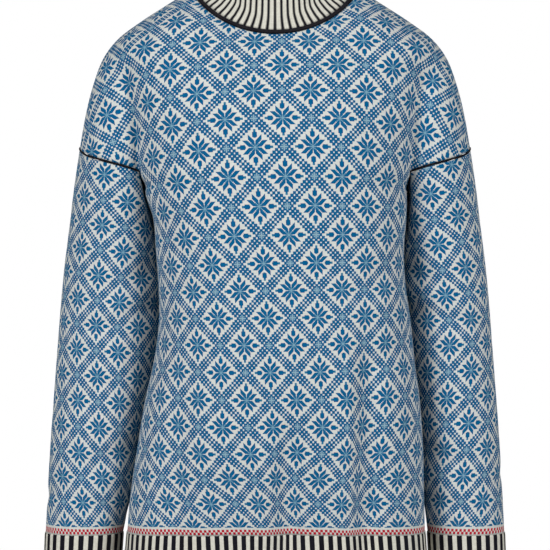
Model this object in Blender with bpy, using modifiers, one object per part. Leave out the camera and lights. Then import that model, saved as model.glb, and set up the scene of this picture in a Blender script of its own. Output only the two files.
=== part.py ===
"""Drop-shoulder jacquard pullover with a ribbed mock neck, held in its worn, hollow form.

Metres, +Z up. The front faces -Y and the wearer's right arm is at -X. The origin is the centre
of the neck at the height of the high shoulder points, where the wearer's shoulders carry it.
Every piece is a cloth wall; neck, hem and cuffs are open.
"""
import math
from collections import namedtuple

import bmesh
import bpy
from mathutils import Vector

MM = 0.001

# Cloth and seams
WALL = 2.0 * MM              # jacquard cloth
RIB_WALL = 2.2 * MM          # rib knit, in its grooves
SEAM_GAP = 0.3 * MM          # air between sewn pieces
HEM_GAP = 0.5 * MM           # the same at the curved hem seam
NECK_CORD = 1.8 * MM         # radius of the cord round the neckline
SLEEVE_CORD = 1.1 * MM       # radius of the piping round the armhole
UNDERARM_EASE = 2.0 * MM     # the sleeve stands this far off the side at the underarm
ARM_Y = 13                   # mm, depth at which the arm presses on the side
ARM_SPREAD = 38              # mm, how far the dent of the arm spreads

# Ribs
COLLAR_RIBS = 56
HEM_RIBS = 88
CUFF_RIBS = 24
RIB_RISE = 1.2 * MM

# Faces along each panel
TORSO_COLUMNS = 10           # centre to side, or to the fold beside the arm
ARM_COLUMNS = 6              # fold to shoulder seam
SHOULDER_STEPS = 11          # neckline to armhole
BODY_STEPS = 13              # armhole to hem rib
SLEEVE_SIDES = 4 * (ARM_COLUMNS + 2)     # two for each face edge of the armhole
SLEEVE_STEPS = 15
HEAD_BLEND = 115             # mm over which the sleeve turns from the armhole's ring into its own

# A row for each course line round the shoulders, from neckline to armhole, in mm. The line runs
# from the centre (front or back), through the fold beside the arm, to the shoulder seam.
ShoulderRow = namedtuple("ShoulderRow", "name edge_x edge_z front_y front_z back_y back_z"
                                        " fold_x fold_front fold_back fold_z square arm_width")
SHOULDER_ROWS = [ShoulderRow(*row) for row in (
    ("slope_top", 131, -23, 90, -83, 76, -8, 104, 0, 0, -44, 2.1, 0),
    ("slope_mid", 160, -42, 99, -103, 87, -26, 132, 0, 0, -62, 2.15, 0),
    ("shoulder_tip", 184, -60.5, 107, -121, 96, -50, 156, 0, 0, -82, 2.2, 0),
    ("cap_top", 201.5, -84, 114, -139, 103, -80, 169, 46, 44, -105, 2.2, 43),
    ("cap_mid", 213.5, -117, 120, -162, 109, -116, 163, 53, 50, -131, 2.3, 43),
    ("cap_low", 221.5, -150, 125, -185, 112, -162, 159, 54, 51, -168, 2.4, 43),
    ("armhole", 228, -187, 128.5, -222, 113.5, -212, 155.5, 47, 46, -217, 2.5, 44),
)]

# A row for each level of the body below the armhole, in mm. dip is how much lower the centre
# hangs than the side, cut_y how far short of the side seam the row still ends, left_x and right_x
# the half widths towards -X and +X, and dent how far the arm presses the side in.
BodyRow = namedtuple("BodyRow", "name z dip left_x right_x front_y back_y cut_y square dent")
BODY_ROWS = [BodyRow(*row) for row in (
    ("gusset", -232, 9, 151.5, 153.5, 129, 114, 23, 2.5, 0),
    ("underarm", -243, 17, 151, 155, 129, 115, 0, 2.55, 4),
    ("bust", -271, 12, 144, 155.5, 129, 116, 0, 2.65, 11),
    ("under_bust", -306, 6, 141, 152.5, 128, 117, 0, 2.75, 11),
    ("waist", -345, 0, 138, 154, 127, 118, 0, 2.75, 10),
    ("high_hip", -390, 0, 137.5, 160.5, 127, 118, 0, 2.7, 10),
    ("hip", -437, 0, 144, 165.5, 127, 118, 0, 2.65, 10),
    ("low_hip", -480, 0, 153.5, 171, 125, 118, 0, 2.7, 9),
    ("skirt", -536, 0, 162.5, 174.5, 119, 115, 0, 2.85, 8),
    ("skirt_low", -592, -2, 170, 175, 108, 109, 0, 3.05, 5),
    ("hem", -630, -4, 172.5, 175, 99, 104, 0, 3.2, 2),
)]
RIB_END = BodyRow("rib_end", -679, -4, 176, 177.5, 97, 103, 0, 3.2, 0)

# A row for each ring of the sleeve, in mm: how far out its outer side and its inner side (on the
# right and left sleeves) stand, and its depths in front of and behind its own line.
SleeveRow = namedtuple("SleeveRow", "name z outer_x inner_right inner_left line_y front_y back_y")
SLEEVE_ROWS = [SleeveRow(*row) for row in (
    ("head", -215, 233, 146, 146, 0, 64, 64),
    ("seam_end", -231, 235.5, 144, 147.5, 1, 64, 63),
    ("upper", -248, 238, 140, 147, 3, 64, 62),
    ("armpit", -264, 240, 137, 146.8, 5, 63, 62),
    ("biceps", -284, 242, 134.8, 146, 7, 61, 60),
    ("above_elbow", -330, 247.3, 131.5, 145.6, 8, 58, 58),
    ("elbow", -380, 252, 129.8, 151.8, 9, 56, 56),
    ("forearm", -445, 256.8, 139.5, 160.2, 8, 53, 54),
    ("low_forearm", -510, 261.5, 153.2, 168, 6, 51, 51),
    ("wrist", -576, 265.5, 165, 172, 4, 47, 48),
    ("cuff_seam", -637, 268.3, 178, 178.8, 2, 40, 40),
)]
CUFF_END = SleeveRow("cuff_end", -686, 270, 181.5, 181.5, 1, 38, 38)

# Collar rings, in mm: heights and depths at front, side and back.
CollarRow = namedtuple("CollarRow", "name half_width front_y back_y front_z side_z back_z")
COLLAR_ROWS = [CollarRow(*row) for row in (
    ("neckline", 94, 76, 64, -60, 0, 6),
    ("flare", 82, 71, 60, -47, 12, 18),
    ("turn", 71, 65, 56, -34, 26, 33),
    ("stand", 66.5, 62, 55, 2, 50, 60),
    ("top", 67, 62, 57, 40, 74, 85),
)]

# Folds pressed into the panels, in mm: a trough (negative) or ridge along a line that leans from
# (x, top_z) by lean to bottom_z, fading over its ends.
Fold = namedtuple("Fold", "name panel x top_z bottom_z lean width depth")
FOLDS = [Fold(*row) for row in (
    ("right_drag", "front", 103, -360, -660, 0, 13, -11),
    ("right_swell", "front", 84, -380, -660, -4, 13, 6),
    ("middle_drag", "front", 20, -470, -670, -4, 13, -9),
    ("middle_swell", "front", -12, -480, -670, -2, 14, 6),
    ("left_soft", "front", -104, -400, -670, -14, 18, -5),
    ("left_swell", "front", -76, -430, -670, -10, 18, 3),
    ("back_left", "back", -70, -300, -670, -12, 20, -8),
    ("back_right", "back", 58, -330, -670, 16, 20, -7),
    ("back_middle", "back", -6, -420, -670, 4, 22, -5),
)]
SleeveFold = namedtuple("SleeveFold", "name turn z slope width depth")
SLEEVE_FOLDS = [SleeveFold(*row) for row in (
    ("inner_elbow", 150, -372, 0.35, 13, -4.5),
    ("above_inner_elbow", 140, -330, 0.45, 14, -3.5),
    ("upper_drag", 215, -300, -0.5, 15, -4),
    ("wrist_break", 120, -545, 0.4, 13, -3),
    ("back_elbow", 235, -410, -0.4, 14, -4),
)]

COLOURS = {
    "jacquard": ((0.10, 0.24, 0.38, 1), 0.85),
    "ribs": ((0.62, 0.60, 0.54, 1), 0.85),
    "cord": ((0.012, 0.010, 0.014, 1), 0.7),
}
parts = None


def start_scene():
    """Empty the scene and make the collection that holds the pieces."""
    global parts
    for obj in list(bpy.data.objects):
        bpy.data.objects.remove(obj, do_unlink=True)
    parts = bpy.data.collections.new("pullover")
    bpy.context.scene.collection.children.link(parts)


def finish_material(name):
    material = bpy.data.materials.new(name)
    material.use_nodes = True
    shader = material.node_tree.nodes["Principled BSDF"]
    colour, roughness = COLOURS[name]
    shader.inputs["Base Color"].default_value = colour
    shader.inputs["Roughness"].default_value = roughness
    shader.inputs["Metallic"].default_value = 0.0
    return material


def add_piece(name, data, material):
    piece = bpy.data.objects.new(name, data)
    piece.data.materials.append(material)
    parts.objects.link(piece)
    return piece


def through(keys, stations, at):
    """Read a smooth curve through the keys, which stand at the given stations."""
    last = len(keys) - 1
    i = min(max(sum(1 for s in stations if s <= at) - 1, 0), last - 1)
    span = stations[i + 1] - stations[i]
    t = (at - stations[i]) / span

    def slope(k):
        low, high = max(k - 1, 0), min(k + 1, last)
        return (keys[high] - keys[low]) * (span / (stations[high] - stations[low]))

    a, b = keys[i], keys[i + 1]
    return (a * (2 * t**3 - 3 * t**2 + 1) + slope(i) * (t**3 - 2 * t**2 + t)
            + b * (3 * t**2 - 2 * t**3) + slope(i + 1) * (t**3 - t**2))


def lengths(points):
    total = [0.0]
    for before, after in zip(points, points[1:]):
        total.append(total[-1] + (after - before).length)
    return total


def respace(points, count):
    """Return count + 1 points at equal steps along a polyline."""
    run = lengths(points)
    spaced, k = [], 0
    for i in range(count + 1):
        want = run[-1] * i / count
        while k < len(points) - 2 and run[k + 1] < want:
            k += 1
        step = run[k + 1] - run[k]
        spaced.append(points[k].lerp(points[k + 1], (want - run[k]) / step if step else 0))
    return spaced


def torso_arc(fold_x, fold_y, depth, square, steps=48):
    """Plan curve from the centre to (fold_x, -fold_y) on a superellipse of that depth."""
    width = fold_x / (1 - (fold_y / depth)**square)**(1 / square)
    end = math.acos((fold_y / depth)**(square / 2))
    return [Vector((width * math.sin(end * i / steps)**(2 / square),
                    -depth * math.cos(end * i / steps)**(2 / square), 0))
            for i in range(steps + 1)]


def arm_arc(fold_x, fold_y, edge_x, half_width, steps=32):
    """Plan curve over the front of the arm, from the fold to the shoulder seam."""
    centre = edge_x - half_width
    start = math.acos((fold_x - centre) / half_width)
    depth = fold_y / math.sin(start)
    return [Vector((centre + half_width * math.cos(start * (1 - i / steps)),
                    -depth * math.sin(start * (1 - i / steps)), 0))
            for i in range(steps + 1)]


def neck_ring_point(row, turn, shift=0.0):
    """A point on a collar ring; turn 0 is centre front and 90 degrees the +X side."""
    front = math.cos(turn)
    depth = row.front_y if front > 0 else row.back_y
    low = row.front_z if front > 0 else row.back_z
    height = row.side_z + (low - row.side_z) * abs(front)**1.3
    return Vector(((row.half_width + shift) * math.sin(turn), -(depth + shift) * front, height)) * MM


def shoulder_line(row, face):
    """One course line on the +X side, front or back, as torso and arm points (mm, y outwards)."""
    depth = row.front_y if face == "front" else row.back_y
    centre_z = row.front_z if face == "front" else row.back_z
    fold_y = row.fold_front if face == "front" else row.fold_back
    if row.arm_width:
        torso = torso_arc(row.fold_x, fold_y, depth, row.square)
        arm = arm_arc(row.fold_x, fold_y, row.edge_x, row.arm_width)
    else:
        whole = torso_arc(row.edge_x, 0.0, depth, row.square, 96)
        torso = [p for p in whole if p.x <= row.fold_x]
        arm = [torso[-1]] + [p for p in whole if p.x > row.fold_x]
    torso = respace(torso, TORSO_COLUMNS)
    arm = respace(arm, ARM_COLUMNS)
    for point in torso:
        point.z = centre_z + (row.fold_z - centre_z) * (point.x / row.fold_x)**2.2
    for i, point in enumerate(arm):
        share = i / ARM_COLUMNS
        point.z = row.fold_z + (row.edge_z - row.fold_z) * share
    return torso + arm[1:]


def neckline(face):
    """The neckline as the first course line, on the +X side (mm)."""
    row = COLLAR_ROWS[0]
    turns = [math.radians(90) * i / (TORSO_COLUMNS + ARM_COLUMNS)
             for i in range(TORSO_COLUMNS + ARM_COLUMNS + 1)]
    if face == "back":
        turns = [math.pi - turn for turn in turns]
    points = [neck_ring_point(row, turn) / MM for turn in turns]
    return [Vector((p.x, p.y if face == "front" else -p.y, p.z)) for p in points]


def arm_dent(row, y):
    """How far the arm presses the side of the body in, at depth y (mm)."""
    return row.dent * math.exp(-((y - ARM_Y) / ARM_SPREAD)**2)


def body_line(row, face, side):
    """One level of the body, from the centre to its side (mm)."""
    depth = row.front_y if face == "front" else row.back_y
    width = row.right_x if side > 0 else row.left_x
    line = respace(torso_arc(width, row.cut_y, depth, row.square), TORSO_COLUMNS)
    for point in line:
        point.z = row.z - row.dip * (1 - (point.x / width)**2)
        point.x -= arm_dent(row, point.y if face == "front" else -point.y)
    return line


def fade(value, low, high):
    """Rise smoothly from 0 at low to 1 at high."""
    t = min(max((value - low) / (high - low), 0), 1)
    return t * t * (3 - 2 * t)


def fold_depth(panel, x, z):
    """How far the folds push the panel out at a place (mm)."""
    total = 0.0
    for fold in FOLDS:
        if fold.panel != panel:
            continue
        share = (z - fold.top_z) / (fold.bottom_z - fold.top_z)
        line = fold.x + fold.lean * share
        strength = fade(share, 0.0, 0.4) * (1 - 0.45 * fade(share, 0.75, 1.0))
        total += fold.depth * strength * math.exp(-((x - line) / fold.width)**2)
    return total


def panel_side(face, side):
    """Rows of points on one side of a panel: above the armhole (with the arm) and below it."""
    upper_keys = [neckline(face)] + [shoulder_line(row, face) for row in SHOULDER_ROWS]
    middle = [sum((b[i] - a[i]).length for i in range(len(a))) / len(a)
              for a, b in zip(upper_keys, upper_keys[1:])]
    stations = [sum(middle[:i]) for i in range(len(upper_keys))]
    columns = TORSO_COLUMNS + ARM_COLUMNS + 1
    upper = []
    for step in range(SHOULDER_STEPS + 1):
        at = stations[-1] * step / SHOULDER_STEPS
        upper.append([through([key[c] for key in upper_keys], stations, at)
                      for c in range(columns)])
    lower_keys = [upper[-1][:TORSO_COLUMNS + 1]] + [body_line(row, face, side)
                                                   for row in BODY_ROWS]
    low_stations = [0.0]
    for before, after in zip(lower_keys, lower_keys[1:]):
        low_stations.append(low_stations[-1] + (after[0].z - before[0].z) * -1
                            + abs(after[-1].y - before[-1].y) * 0.5)
    levels = [low_stations[1], low_stations[2]]
    levels += [low_stations[2] + (low_stations[-1] - low_stations[2]) * i / (BODY_STEPS - 2)
               for i in range(1, BODY_STEPS - 1)]
    lower = [[through([key[c] for key in lower_keys], low_stations, at)
              for c in range(TORSO_COLUMNS + 1)] for at in levels]
    for row in upper + lower:
        for point in row:
            point.x *= side
            push = fold_depth(face, point.x, point.z)
            point.y -= push * min(-point.y / 60, 1)
            if face == "back":
                point.y = -point.y
    return upper, lower


def draw_back(point, inward, distance):
    """Move an edge point into its own panel, to make room for a cord or a seam."""
    return point + (inward - point).normalized() * distance


def trim_edges(upper, lower, face):
    """Leave the neck cord, the armhole piping and the seams their room."""
    neck_room = (NECK_CORD + SEAM_GAP) / MM + 0.4
    arm_room = (SLEEVE_CORD + SEAM_GAP) / MM + 0.4
    toward = -1 if face == "front" else 1
    fold = TORSO_COLUMNS
    for c, point in enumerate(upper[0]):
        upper[0][c] = draw_back(point, upper[1][c], neck_room)
    for c in range(fold + 1, fold + ARM_COLUMNS + 1):
        upper[-1][c] = draw_back(upper[-1][c], upper[-2][c], arm_room)
    corner = (upper[-1][fold - 1] + upper[-2][fold - 1]) / 2
    upper[-1][fold] = draw_back(upper[-1][fold], corner, arm_room * 1.7)
    lower[0][fold] = draw_back(lower[0][fold], lower[1][fold - 2], arm_room * 1.5)
    lower[1][fold] = draw_back(lower[1][fold], lower[2][fold - 1], arm_room)
    for row in upper:
        row[-1].y = toward * SEAM_GAP / MM / 2
    for row in lower[1:]:
        row[-1].y = toward * SEAM_GAP / MM / 2


def back_with_wall(mesh, thickness):
    """Give an open panel its wall. Along the seams at y = 0 the rim stays square to the seam."""
    mesh.normal_update()
    outer = list(mesh.verts)
    faces = list(mesh.faces)
    rims = [(edge.verts[:], edge.link_faces[0]) for edge in mesh.edges if edge.is_boundary]
    inner = {}
    for vert in outer:
        normal = vert.normal.copy()
        if abs(vert.co.y) < SEAM_GAP:
            normal.y = 0
        inner[vert] = mesh.verts.new(vert.co - normal.normalized() * thickness)
    for face in faces:
        mesh.faces.new([inner[vert] for vert in reversed(face.verts)])
    for (start, end), face in rims:
        order = list(face.verts)
        if order[(order.index(start) + 1) % len(order)] != end:
            start, end = end, start
        mesh.faces.new((end, start, inner[start], inner[end]))


def make_panel(name, face, material):
    """Front or back: one open surface from shoulder seams to hem, backed with its wall."""
    halves = {}
    for side in (-1, 1):
        upper, lower = panel_side(face, side)
        trim_edges(upper, lower, face)
        halves[side] = upper, lower
    mesh = bmesh.new()

    def full_row(part, index):
        left = halves[-1][part][index]
        right = halves[1][part][index]
        middle = (left[0] + right[0]) / 2
        return [mesh.verts.new(p * MM) for p in list(reversed(left[1:])) + [middle] + right[1:]]

    upper_rows = [full_row(0, i) for i in range(SHOULDER_STEPS + 1)]
    lower_rows = [full_row(1, i) for i in range(BODY_STEPS)]
    armhole = upper_rows[-1][ARM_COLUMNS:-ARM_COLUMNS]
    for rows in (upper_rows, [armhole] + lower_rows):
        for above, below in zip(rows, rows[1:]):
            for c in range(len(above) - 1):
                corners = (above[c], below[c], below[c + 1], above[c + 1])
                mesh.faces.new(corners if face == "front" else corners[::-1])
    back_with_wall(mesh, WALL)
    data = bpy.data.meshes.new(name)
    mesh.to_mesh(data)
    mesh.free()
    return add_piece(name, data, material)


def armhole_ring(side):
    """The armhole seam as a closed ring of points: outer top, front, underarm, back (metres)."""
    arcs = []
    for face in ("front", "back"):
        upper, lower = panel_side(face, side)
        corners = list(reversed(upper[-1][TORSO_COLUMNS:])) + [lower[0][-1], lower[1][-1]]
        arc = [corners[0] * MM]
        for before, after in zip(corners, corners[1:]):
            arc += [(before + after) / 2 * MM, after * MM]
        arcs.append(arc)
    return arcs[0] + arcs[1][-2:0:-1]


def make_cord(name, ring, radius, material):
    """A closed cord or piping along a ring of points."""
    curve = bpy.data.curves.new(name, "CURVE")
    curve.dimensions = "3D"
    curve.bevel_depth = radius
    curve.bevel_resolution = 1
    spline = curve.splines.new("POLY")
    spline.points.add(len(ring) - 1)
    for point, place in zip(spline.points, ring):
        point.co = (*place, 1)
    spline.use_cyclic_u = True
    return add_piece(name, curve, material)


def sleeve_middle(row, side):
    """How far out a sleeve ring's middle stands, and its half width (mm)."""
    inner = row.inner_left if side > 0 else row.inner_right
    return (row.outer_x + inner) / 2, (row.outer_x - inner) / 2


def sleeve_ring(row, side, count):
    """One level ring of a sleeve: it starts at the outer side and runs over the front."""
    centre, half_width = sleeve_middle(row, side)
    ring = []
    for i in range(count):
        turn = math.tau * i / count
        depth = row.front_y if math.sin(turn) > 0 else row.back_y
        ring.append(Vector((side * (centre + half_width * math.cos(turn)),
                            row.line_y - depth * math.sin(turn), row.z)) * MM)
    return ring


def sleeve_push(side, turn, z):
    """Folds of a sleeve: slanting troughs on its inner and back parts (metres)."""
    total = 0.0
    for fold in SLEEVE_FOLDS:
        off_turn = (turn - fold.turn + 180) % 360 - 180
        line = fold.z + off_turn * fold.slope * (1 if side < 0 else 0.8)
        spread = math.exp(-(off_turn / 62)**2)
        total += fold.depth * spread * math.exp(-((z / MM - line) / fold.width)**2)
    return total * MM


def make_sleeve(name, side, material):
    seam = armhole_ring(side)
    level_rings = [sleeve_ring(row, side, SLEEVE_SIDES) for row in SLEEVE_ROWS]
    start = level_rings[0]
    heights = [row.z for row in SLEEVE_ROWS]
    stations = [heights[0] - z for z in heights]
    centres = [sleeve_middle(row, side)[0] * MM for row in SLEEVE_ROWS]
    mesh = bmesh.new()
    rings = []
    for step in range(SLEEVE_STEPS + 1):
        at = stations[-1] * (step / SLEEVE_STEPS)
        hold = 1 - fade(at, 0, HEAD_BLEND)
        centre = through(centres, stations, at)
        ring = []
        for i in range(SLEEVE_SIDES):
            level = through([keys[i] for keys in level_rings], stations, at)
            turn = 360 * i / SLEEVE_SIDES
            outward = Vector((level.x - side * centre, level.y, 0)).normalized()
            place = level + (seam[i] - start[i]) * hold
            place += outward * sleeve_push(side, turn, place.z) * (1 - hold)
            inner = max(0.0, -math.cos(math.radians(turn)))
            place.x += side * UNDERARM_EASE * inner**4 * hold
            ring.append(place)
        rings.append(ring)
    room = SLEEVE_CORD + SEAM_GAP + 0.4 * MM
    rings[0] = [draw_back(p, q, room) for p, q in zip(rings[0], rings[1])]
    for point in rings[-1]:
        point.z = SLEEVE_ROWS[-1].z * MM + SEAM_GAP / 2
    loops = [[mesh.verts.new(p) for p in ring] for ring in rings]
    for above, below in zip(loops, loops[1:]):
        for i in range(SLEEVE_SIDES):
            j = (i + 1) % SLEEVE_SIDES
            corners = (above[i], above[j], below[j], below[i])
            mesh.faces.new(corners if side > 0 else corners[::-1])
    data = bpy.data.meshes.new(name)
    mesh.to_mesh(data)
    mesh.free()
    data.shade_smooth()
    piece = add_piece(name, data, material)
    wall = piece.modifiers.new("wall", "SOLIDIFY")
    wall.thickness = WALL
    wall.offset = -1
    return piece


def make_rib_wall(name, rings, ribs, material):
    """A ribbed tube: ribs are raised in its outer points over a plain inside."""
    count = 2 * ribs
    mesh = bmesh.new()
    outer, inner = [], []
    for ring in rings:
        places = respace(ring + [ring[0]], count)[:-1]
        centre = sum(places, Vector()) / count
        outs, ins = [], []
        for i, place in enumerate(places):
            ahead, behind = places[(i + 1) % count], places[i - 1]
            outward = (ahead - behind).cross(Vector((0, 0, 1))).normalized()
            if outward.dot(place - centre) < 0:
                outward = -outward
            rise = RIB_RISE if i % 2 else 0
            outs.append(mesh.verts.new(place + outward * rise))
            ins.append(mesh.verts.new(place - outward * RIB_WALL))
        outer.append(outs)
        inner.append(ins)
    for k in range(len(rings) - 1):
        for i in range(count):
            j = (i + 1) % count
            mesh.faces.new((outer[k][i], outer[k][j], outer[k + 1][j], outer[k + 1][i]))
            mesh.faces.new((inner[k][j], inner[k][i], inner[k + 1][i], inner[k + 1][j]))
    for i in range(count):
        j = (i + 1) % count
        mesh.faces.new((inner[0][i], inner[0][j], outer[0][j], outer[0][i]))
        mesh.faces.new((outer[-1][i], outer[-1][j], inner[-1][j], inner[-1][i]))
    bmesh.ops.recalc_face_normals(mesh, faces=mesh.faces)
    data = bpy.data.meshes.new(name)
    mesh.to_mesh(data)
    mesh.free()
    return add_piece(name, data, material)


def collar_rings():
    """Rings of the collar from just above the neck cord to its plain top."""
    steps = 160
    turns = [math.tau * i / steps for i in range(steps)]
    rings = [[neck_ring_point(row, turn) for turn in turns] for row in COLLAR_ROWS]
    room = NECK_CORD + SEAM_GAP + 0.5 * MM
    rings[0] = [draw_back(p, q, room) for p, q in zip(rings[0], rings[1])]
    return rings


def body_ring(row, steps=160):
    """The whole level ring of the body for the hem rib (metres)."""
    arcs = {}
    for face, toward in (("front", 1), ("back", -1)):
        for side in (-1, 1):
            depth = row.front_y if face == "front" else row.back_y
            width = row.right_x if side > 0 else row.left_x
            arc = torso_arc(width, 0.0, depth, row.square, steps // 4)
            points = []
            for p in arc:
                push = fold_depth(face, p.x * side, row.z) * min(-p.y / 60, 1)
                x = (p.x - arm_dent(row, p.y * toward)) * side
                z = row.z - row.dip * (1 - (p.x / width)**2)
                points.append(Vector((x, (p.y - push) * toward, z)) * MM)
            arcs[face, side] = points
    ring = arcs["front", 1] + arcs["back", 1][-2::-1]
    ring += arcs["back", -1][1:] + arcs["front", -1][-2:0:-1]
    return ring


def make_hem_rib(material):
    top = [Vector((p.x, p.y, p.z - HEM_GAP)) for p in body_ring(BODY_ROWS[-1])]
    end = body_ring(RIB_END)
    return make_rib_wall("hem_rib", [top, end], HEM_RIBS, material)


def make_cuff(name, side, material):
    top = sleeve_ring(SLEEVE_ROWS[-1], side, 96)
    top = [Vector((p.x, p.y, p.z - SEAM_GAP / 2)) for p in top]
    end = sleeve_ring(CUFF_END, side, 96)
    middle = [(a + b) / 2 for a, b in zip(top, end)]
    return make_rib_wall(name, [top, middle, end], CUFF_RIBS, material)


def main():
    start_scene()
    jacquard, ribs, cord = (finish_material(name) for name in COLOURS)
    make_panel("front", "front", jacquard)
    make_panel("back", "back", jacquard)
    make_rib_wall("collar", collar_rings(), COLLAR_RIBS, ribs)
    neck = [neck_ring_point(COLLAR_ROWS[0], math.tau * i / 56) for i in range(56)]
    make_cord("neck_cord", neck, NECK_CORD, cord)
    make_hem_rib(ribs)
    for name, side in (("right", -1), ("left", 1)):
        make_sleeve(f"sleeve_{name}", side, jacquard)
        make_cord(f"armhole_piping_{name}", armhole_ring(side), SLEEVE_CORD, cord)
        make_cuff(f"cuff_{name}", side, ribs)


main()
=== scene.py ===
"""The looks of the drop-shoulder jacquard pullover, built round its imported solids.

Run as a script in Blender. Everything is in metres in the frame's own axes: +Z up, the front at
-Y, the wearer's left at +X, and the origin in the neck at the height of the shoulders. The tables
of sections are in millimetres.
"""
from collections import namedtuple
from functools import partialmethod

import bmesh
import bpy
import numpy as np
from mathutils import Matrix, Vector


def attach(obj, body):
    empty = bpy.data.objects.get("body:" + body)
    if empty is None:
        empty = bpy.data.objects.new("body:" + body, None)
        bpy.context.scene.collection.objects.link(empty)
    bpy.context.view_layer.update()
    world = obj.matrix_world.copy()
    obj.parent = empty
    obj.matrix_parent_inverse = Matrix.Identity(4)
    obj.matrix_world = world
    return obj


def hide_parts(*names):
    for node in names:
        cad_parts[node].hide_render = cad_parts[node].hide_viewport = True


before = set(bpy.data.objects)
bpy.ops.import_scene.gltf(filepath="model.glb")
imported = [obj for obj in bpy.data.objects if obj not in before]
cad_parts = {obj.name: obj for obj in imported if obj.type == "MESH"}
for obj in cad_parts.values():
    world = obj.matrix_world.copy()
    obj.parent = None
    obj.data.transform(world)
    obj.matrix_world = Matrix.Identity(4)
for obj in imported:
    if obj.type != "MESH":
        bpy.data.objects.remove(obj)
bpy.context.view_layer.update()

bl_info = {
    "name": "Jacquard pullover",
    "version": (1, 0, 0),
    "blender": (4, 5, 0),
    "location": "3D View > Sidebar > Pullover",
    "description": "Knitted panels, ribs and cords round the solids of a worn, hollow pullover",
    "category": "Object",
}

MM = 0.001

# ---------------------------------------------------------------- how the cloth is laid out

TORSO_COLUMNS = 48           # centre to side, or to the crease beside the arm
ARM_COLUMNS = 24             # crease to shoulder seam
NECK_SHARE = 10 / 16         # of a quarter of the neckline, from the centre to the crease
SHOULDER_ROWS = 56           # neckline to armhole
GUSSET_ROWS = 4              # armhole crease to gusset, and again to the underarm point
BODY_ROWS = 84               # underarm to hem rib
SLEEVE_SIDES = 4 * (ARM_COLUMNS + 2 * GUSSET_ROWS)
SLEEVE_ROWS = 120
ARM_Y = 13                   # mm, depth at which the arm presses on the side
ARM_SPREAD = 38              # mm, how far the dent of the arm spreads
HEAD_BLEND = 115             # mm over which a sleeve turns from the armhole's ring into its own

# A row for each course line round the shoulders, from neckline to armhole. The line runs from the
# centre (front or back), through the crease beside the arm, to the shoulder seam.
ShoulderLine = namedtuple("ShoulderLine", "name edge_x edge_z front_y front_z back_y back_z"
                                          " fold_x fold_front fold_back fold_z square arm_width")
SHOULDER_LINES = [ShoulderLine(*row) for row in (
    ("slope_top", 131, -23, 90, -83, 76, -8, 104, 0, 0, -44, 2.1, 0),
    ("slope_mid", 160, -42, 99, -103, 87, -26, 132, 0, 0, -62, 2.15, 0),
    ("shoulder_tip", 184, -60.5, 107, -121, 96, -50, 156, 0, 0, -82, 2.2, 0),
    ("cap_top", 201.5, -84, 114, -139, 103, -80, 169, 46, 44, -105, 2.2, 43),
    ("cap_mid", 213.5, -117, 120, -162, 109, -116, 163, 53, 50, -131, 2.3, 43),
    ("cap_low", 221.5, -150, 125, -185, 112, -162, 159, 54, 51, -168, 2.4, 43),
    ("armhole", 228, -187, 128.5, -222, 113.5, -212, 155.5, 47, 46, -217, 2.5, 44),
)]

# A row for each level of the body below the armhole. dip is how much lower the centre hangs than
# the side, cut_y how far short of the side seam the row still ends, left_x and right_x the half
# widths towards -X and +X, and dent how far the arm presses the side in.
BodyLine = namedtuple("BodyLine", "name z dip left_x right_x front_y back_y cut_y square dent")
BODY_LINES = [BodyLine(*row) for row in (
    ("gusset", -232, 9, 151.5, 153.5, 129, 114, 23, 2.5, 0),
    ("underarm", -243, 17, 152.5, 155, 129, 115, 0, 2.55, 4),
    ("bust", -271, 12, 144, 155.5, 129, 116, 0, 2.65, 11),
    ("under_bust", -306, 6, 141, 152.5, 128, 117, 0, 2.75, 11),
    ("waist", -345, 0, 138, 154, 127, 118, 0, 2.75, 10),
    ("high_hip", -390, 0, 137.5, 160.5, 127, 118, 0, 2.7, 10),
    ("hip", -437, 0, 144, 165.5, 127, 118, 0, 2.65, 10),
    ("low_hip", -480, 0, 153.5, 171, 125, 118, 0, 2.7, 9),
    ("skirt", -536, 0, 162.5, 174.5, 119, 115, 0, 2.85, 8),
    ("skirt_low", -592, -2, 170, 175, 108, 109, 0, 3.05, 5),
    ("hem", -633.2, -4, 172.5, 175, 99, 104, 0, 3.2, 2),
)]
RIB_END = BodyLine("rib_end", -682.2, -4, 176, 177.5, 97, 103, 0, 3.2, 0)

# A row for each ring of the sleeve: how far out its outer side and its inner side (on the right
# and left sleeves) stand, and its depths in front of and behind its own line.
SleeveRing = namedtuple("SleeveRing", "name z outer_x inner_right inner_left line_y front_y back_y")
SLEEVE_RINGS = [SleeveRing(*row) for row in (
    ("head", -215, 233, 146, 146, 0, 64, 64),
    ("seam_end", -231, 235.5, 142.5, 147.5, 1, 64, 63),
    ("upper", -248, 238, 138.5, 147, 3, 64, 62),
    ("armpit", -264, 240, 137, 146.8, 5, 63, 62),
    ("biceps", -284, 242, 134.8, 146, 7, 61, 60),
    ("above_elbow", -330, 247.3, 131.5, 145.6, 8, 58, 58),
    ("elbow", -380, 252, 129.8, 151.8, 9, 56, 56),
    ("forearm", -445, 256.8, 139.5, 160.2, 8, 53, 54),
    ("low_forearm", -510, 261.5, 153.2, 168, 6, 51, 51),
    ("wrist", -576, 265.5, 165, 172, 4, 47, 48),
    ("cuff_seam", -637, 268.3, 178, 178.8, 2, 40, 40),
)]
CUFF_END = SleeveRing("cuff_end", -686, 270, 181.5, 181.5, 1, 38, 38)

# Collar rings: depths and heights at front, side and back.
CollarRing = namedtuple("CollarRing", "name half_width front_y back_y front_z side_z back_z")
COLLAR_RINGS = [CollarRing(*row) for row in (
    ("neckline", 94, 76, 64, -60, 0, 6),
    ("flare", 79.5, 70, 59, -50, 9, 15),
    ("turn", 69, 64, 55.5, -38, 20, 27),
    ("stand", 66.5, 62, 55, 2, 50, 60),
    ("top", 67, 62, 57, 40, 74, 85),
)]

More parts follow.
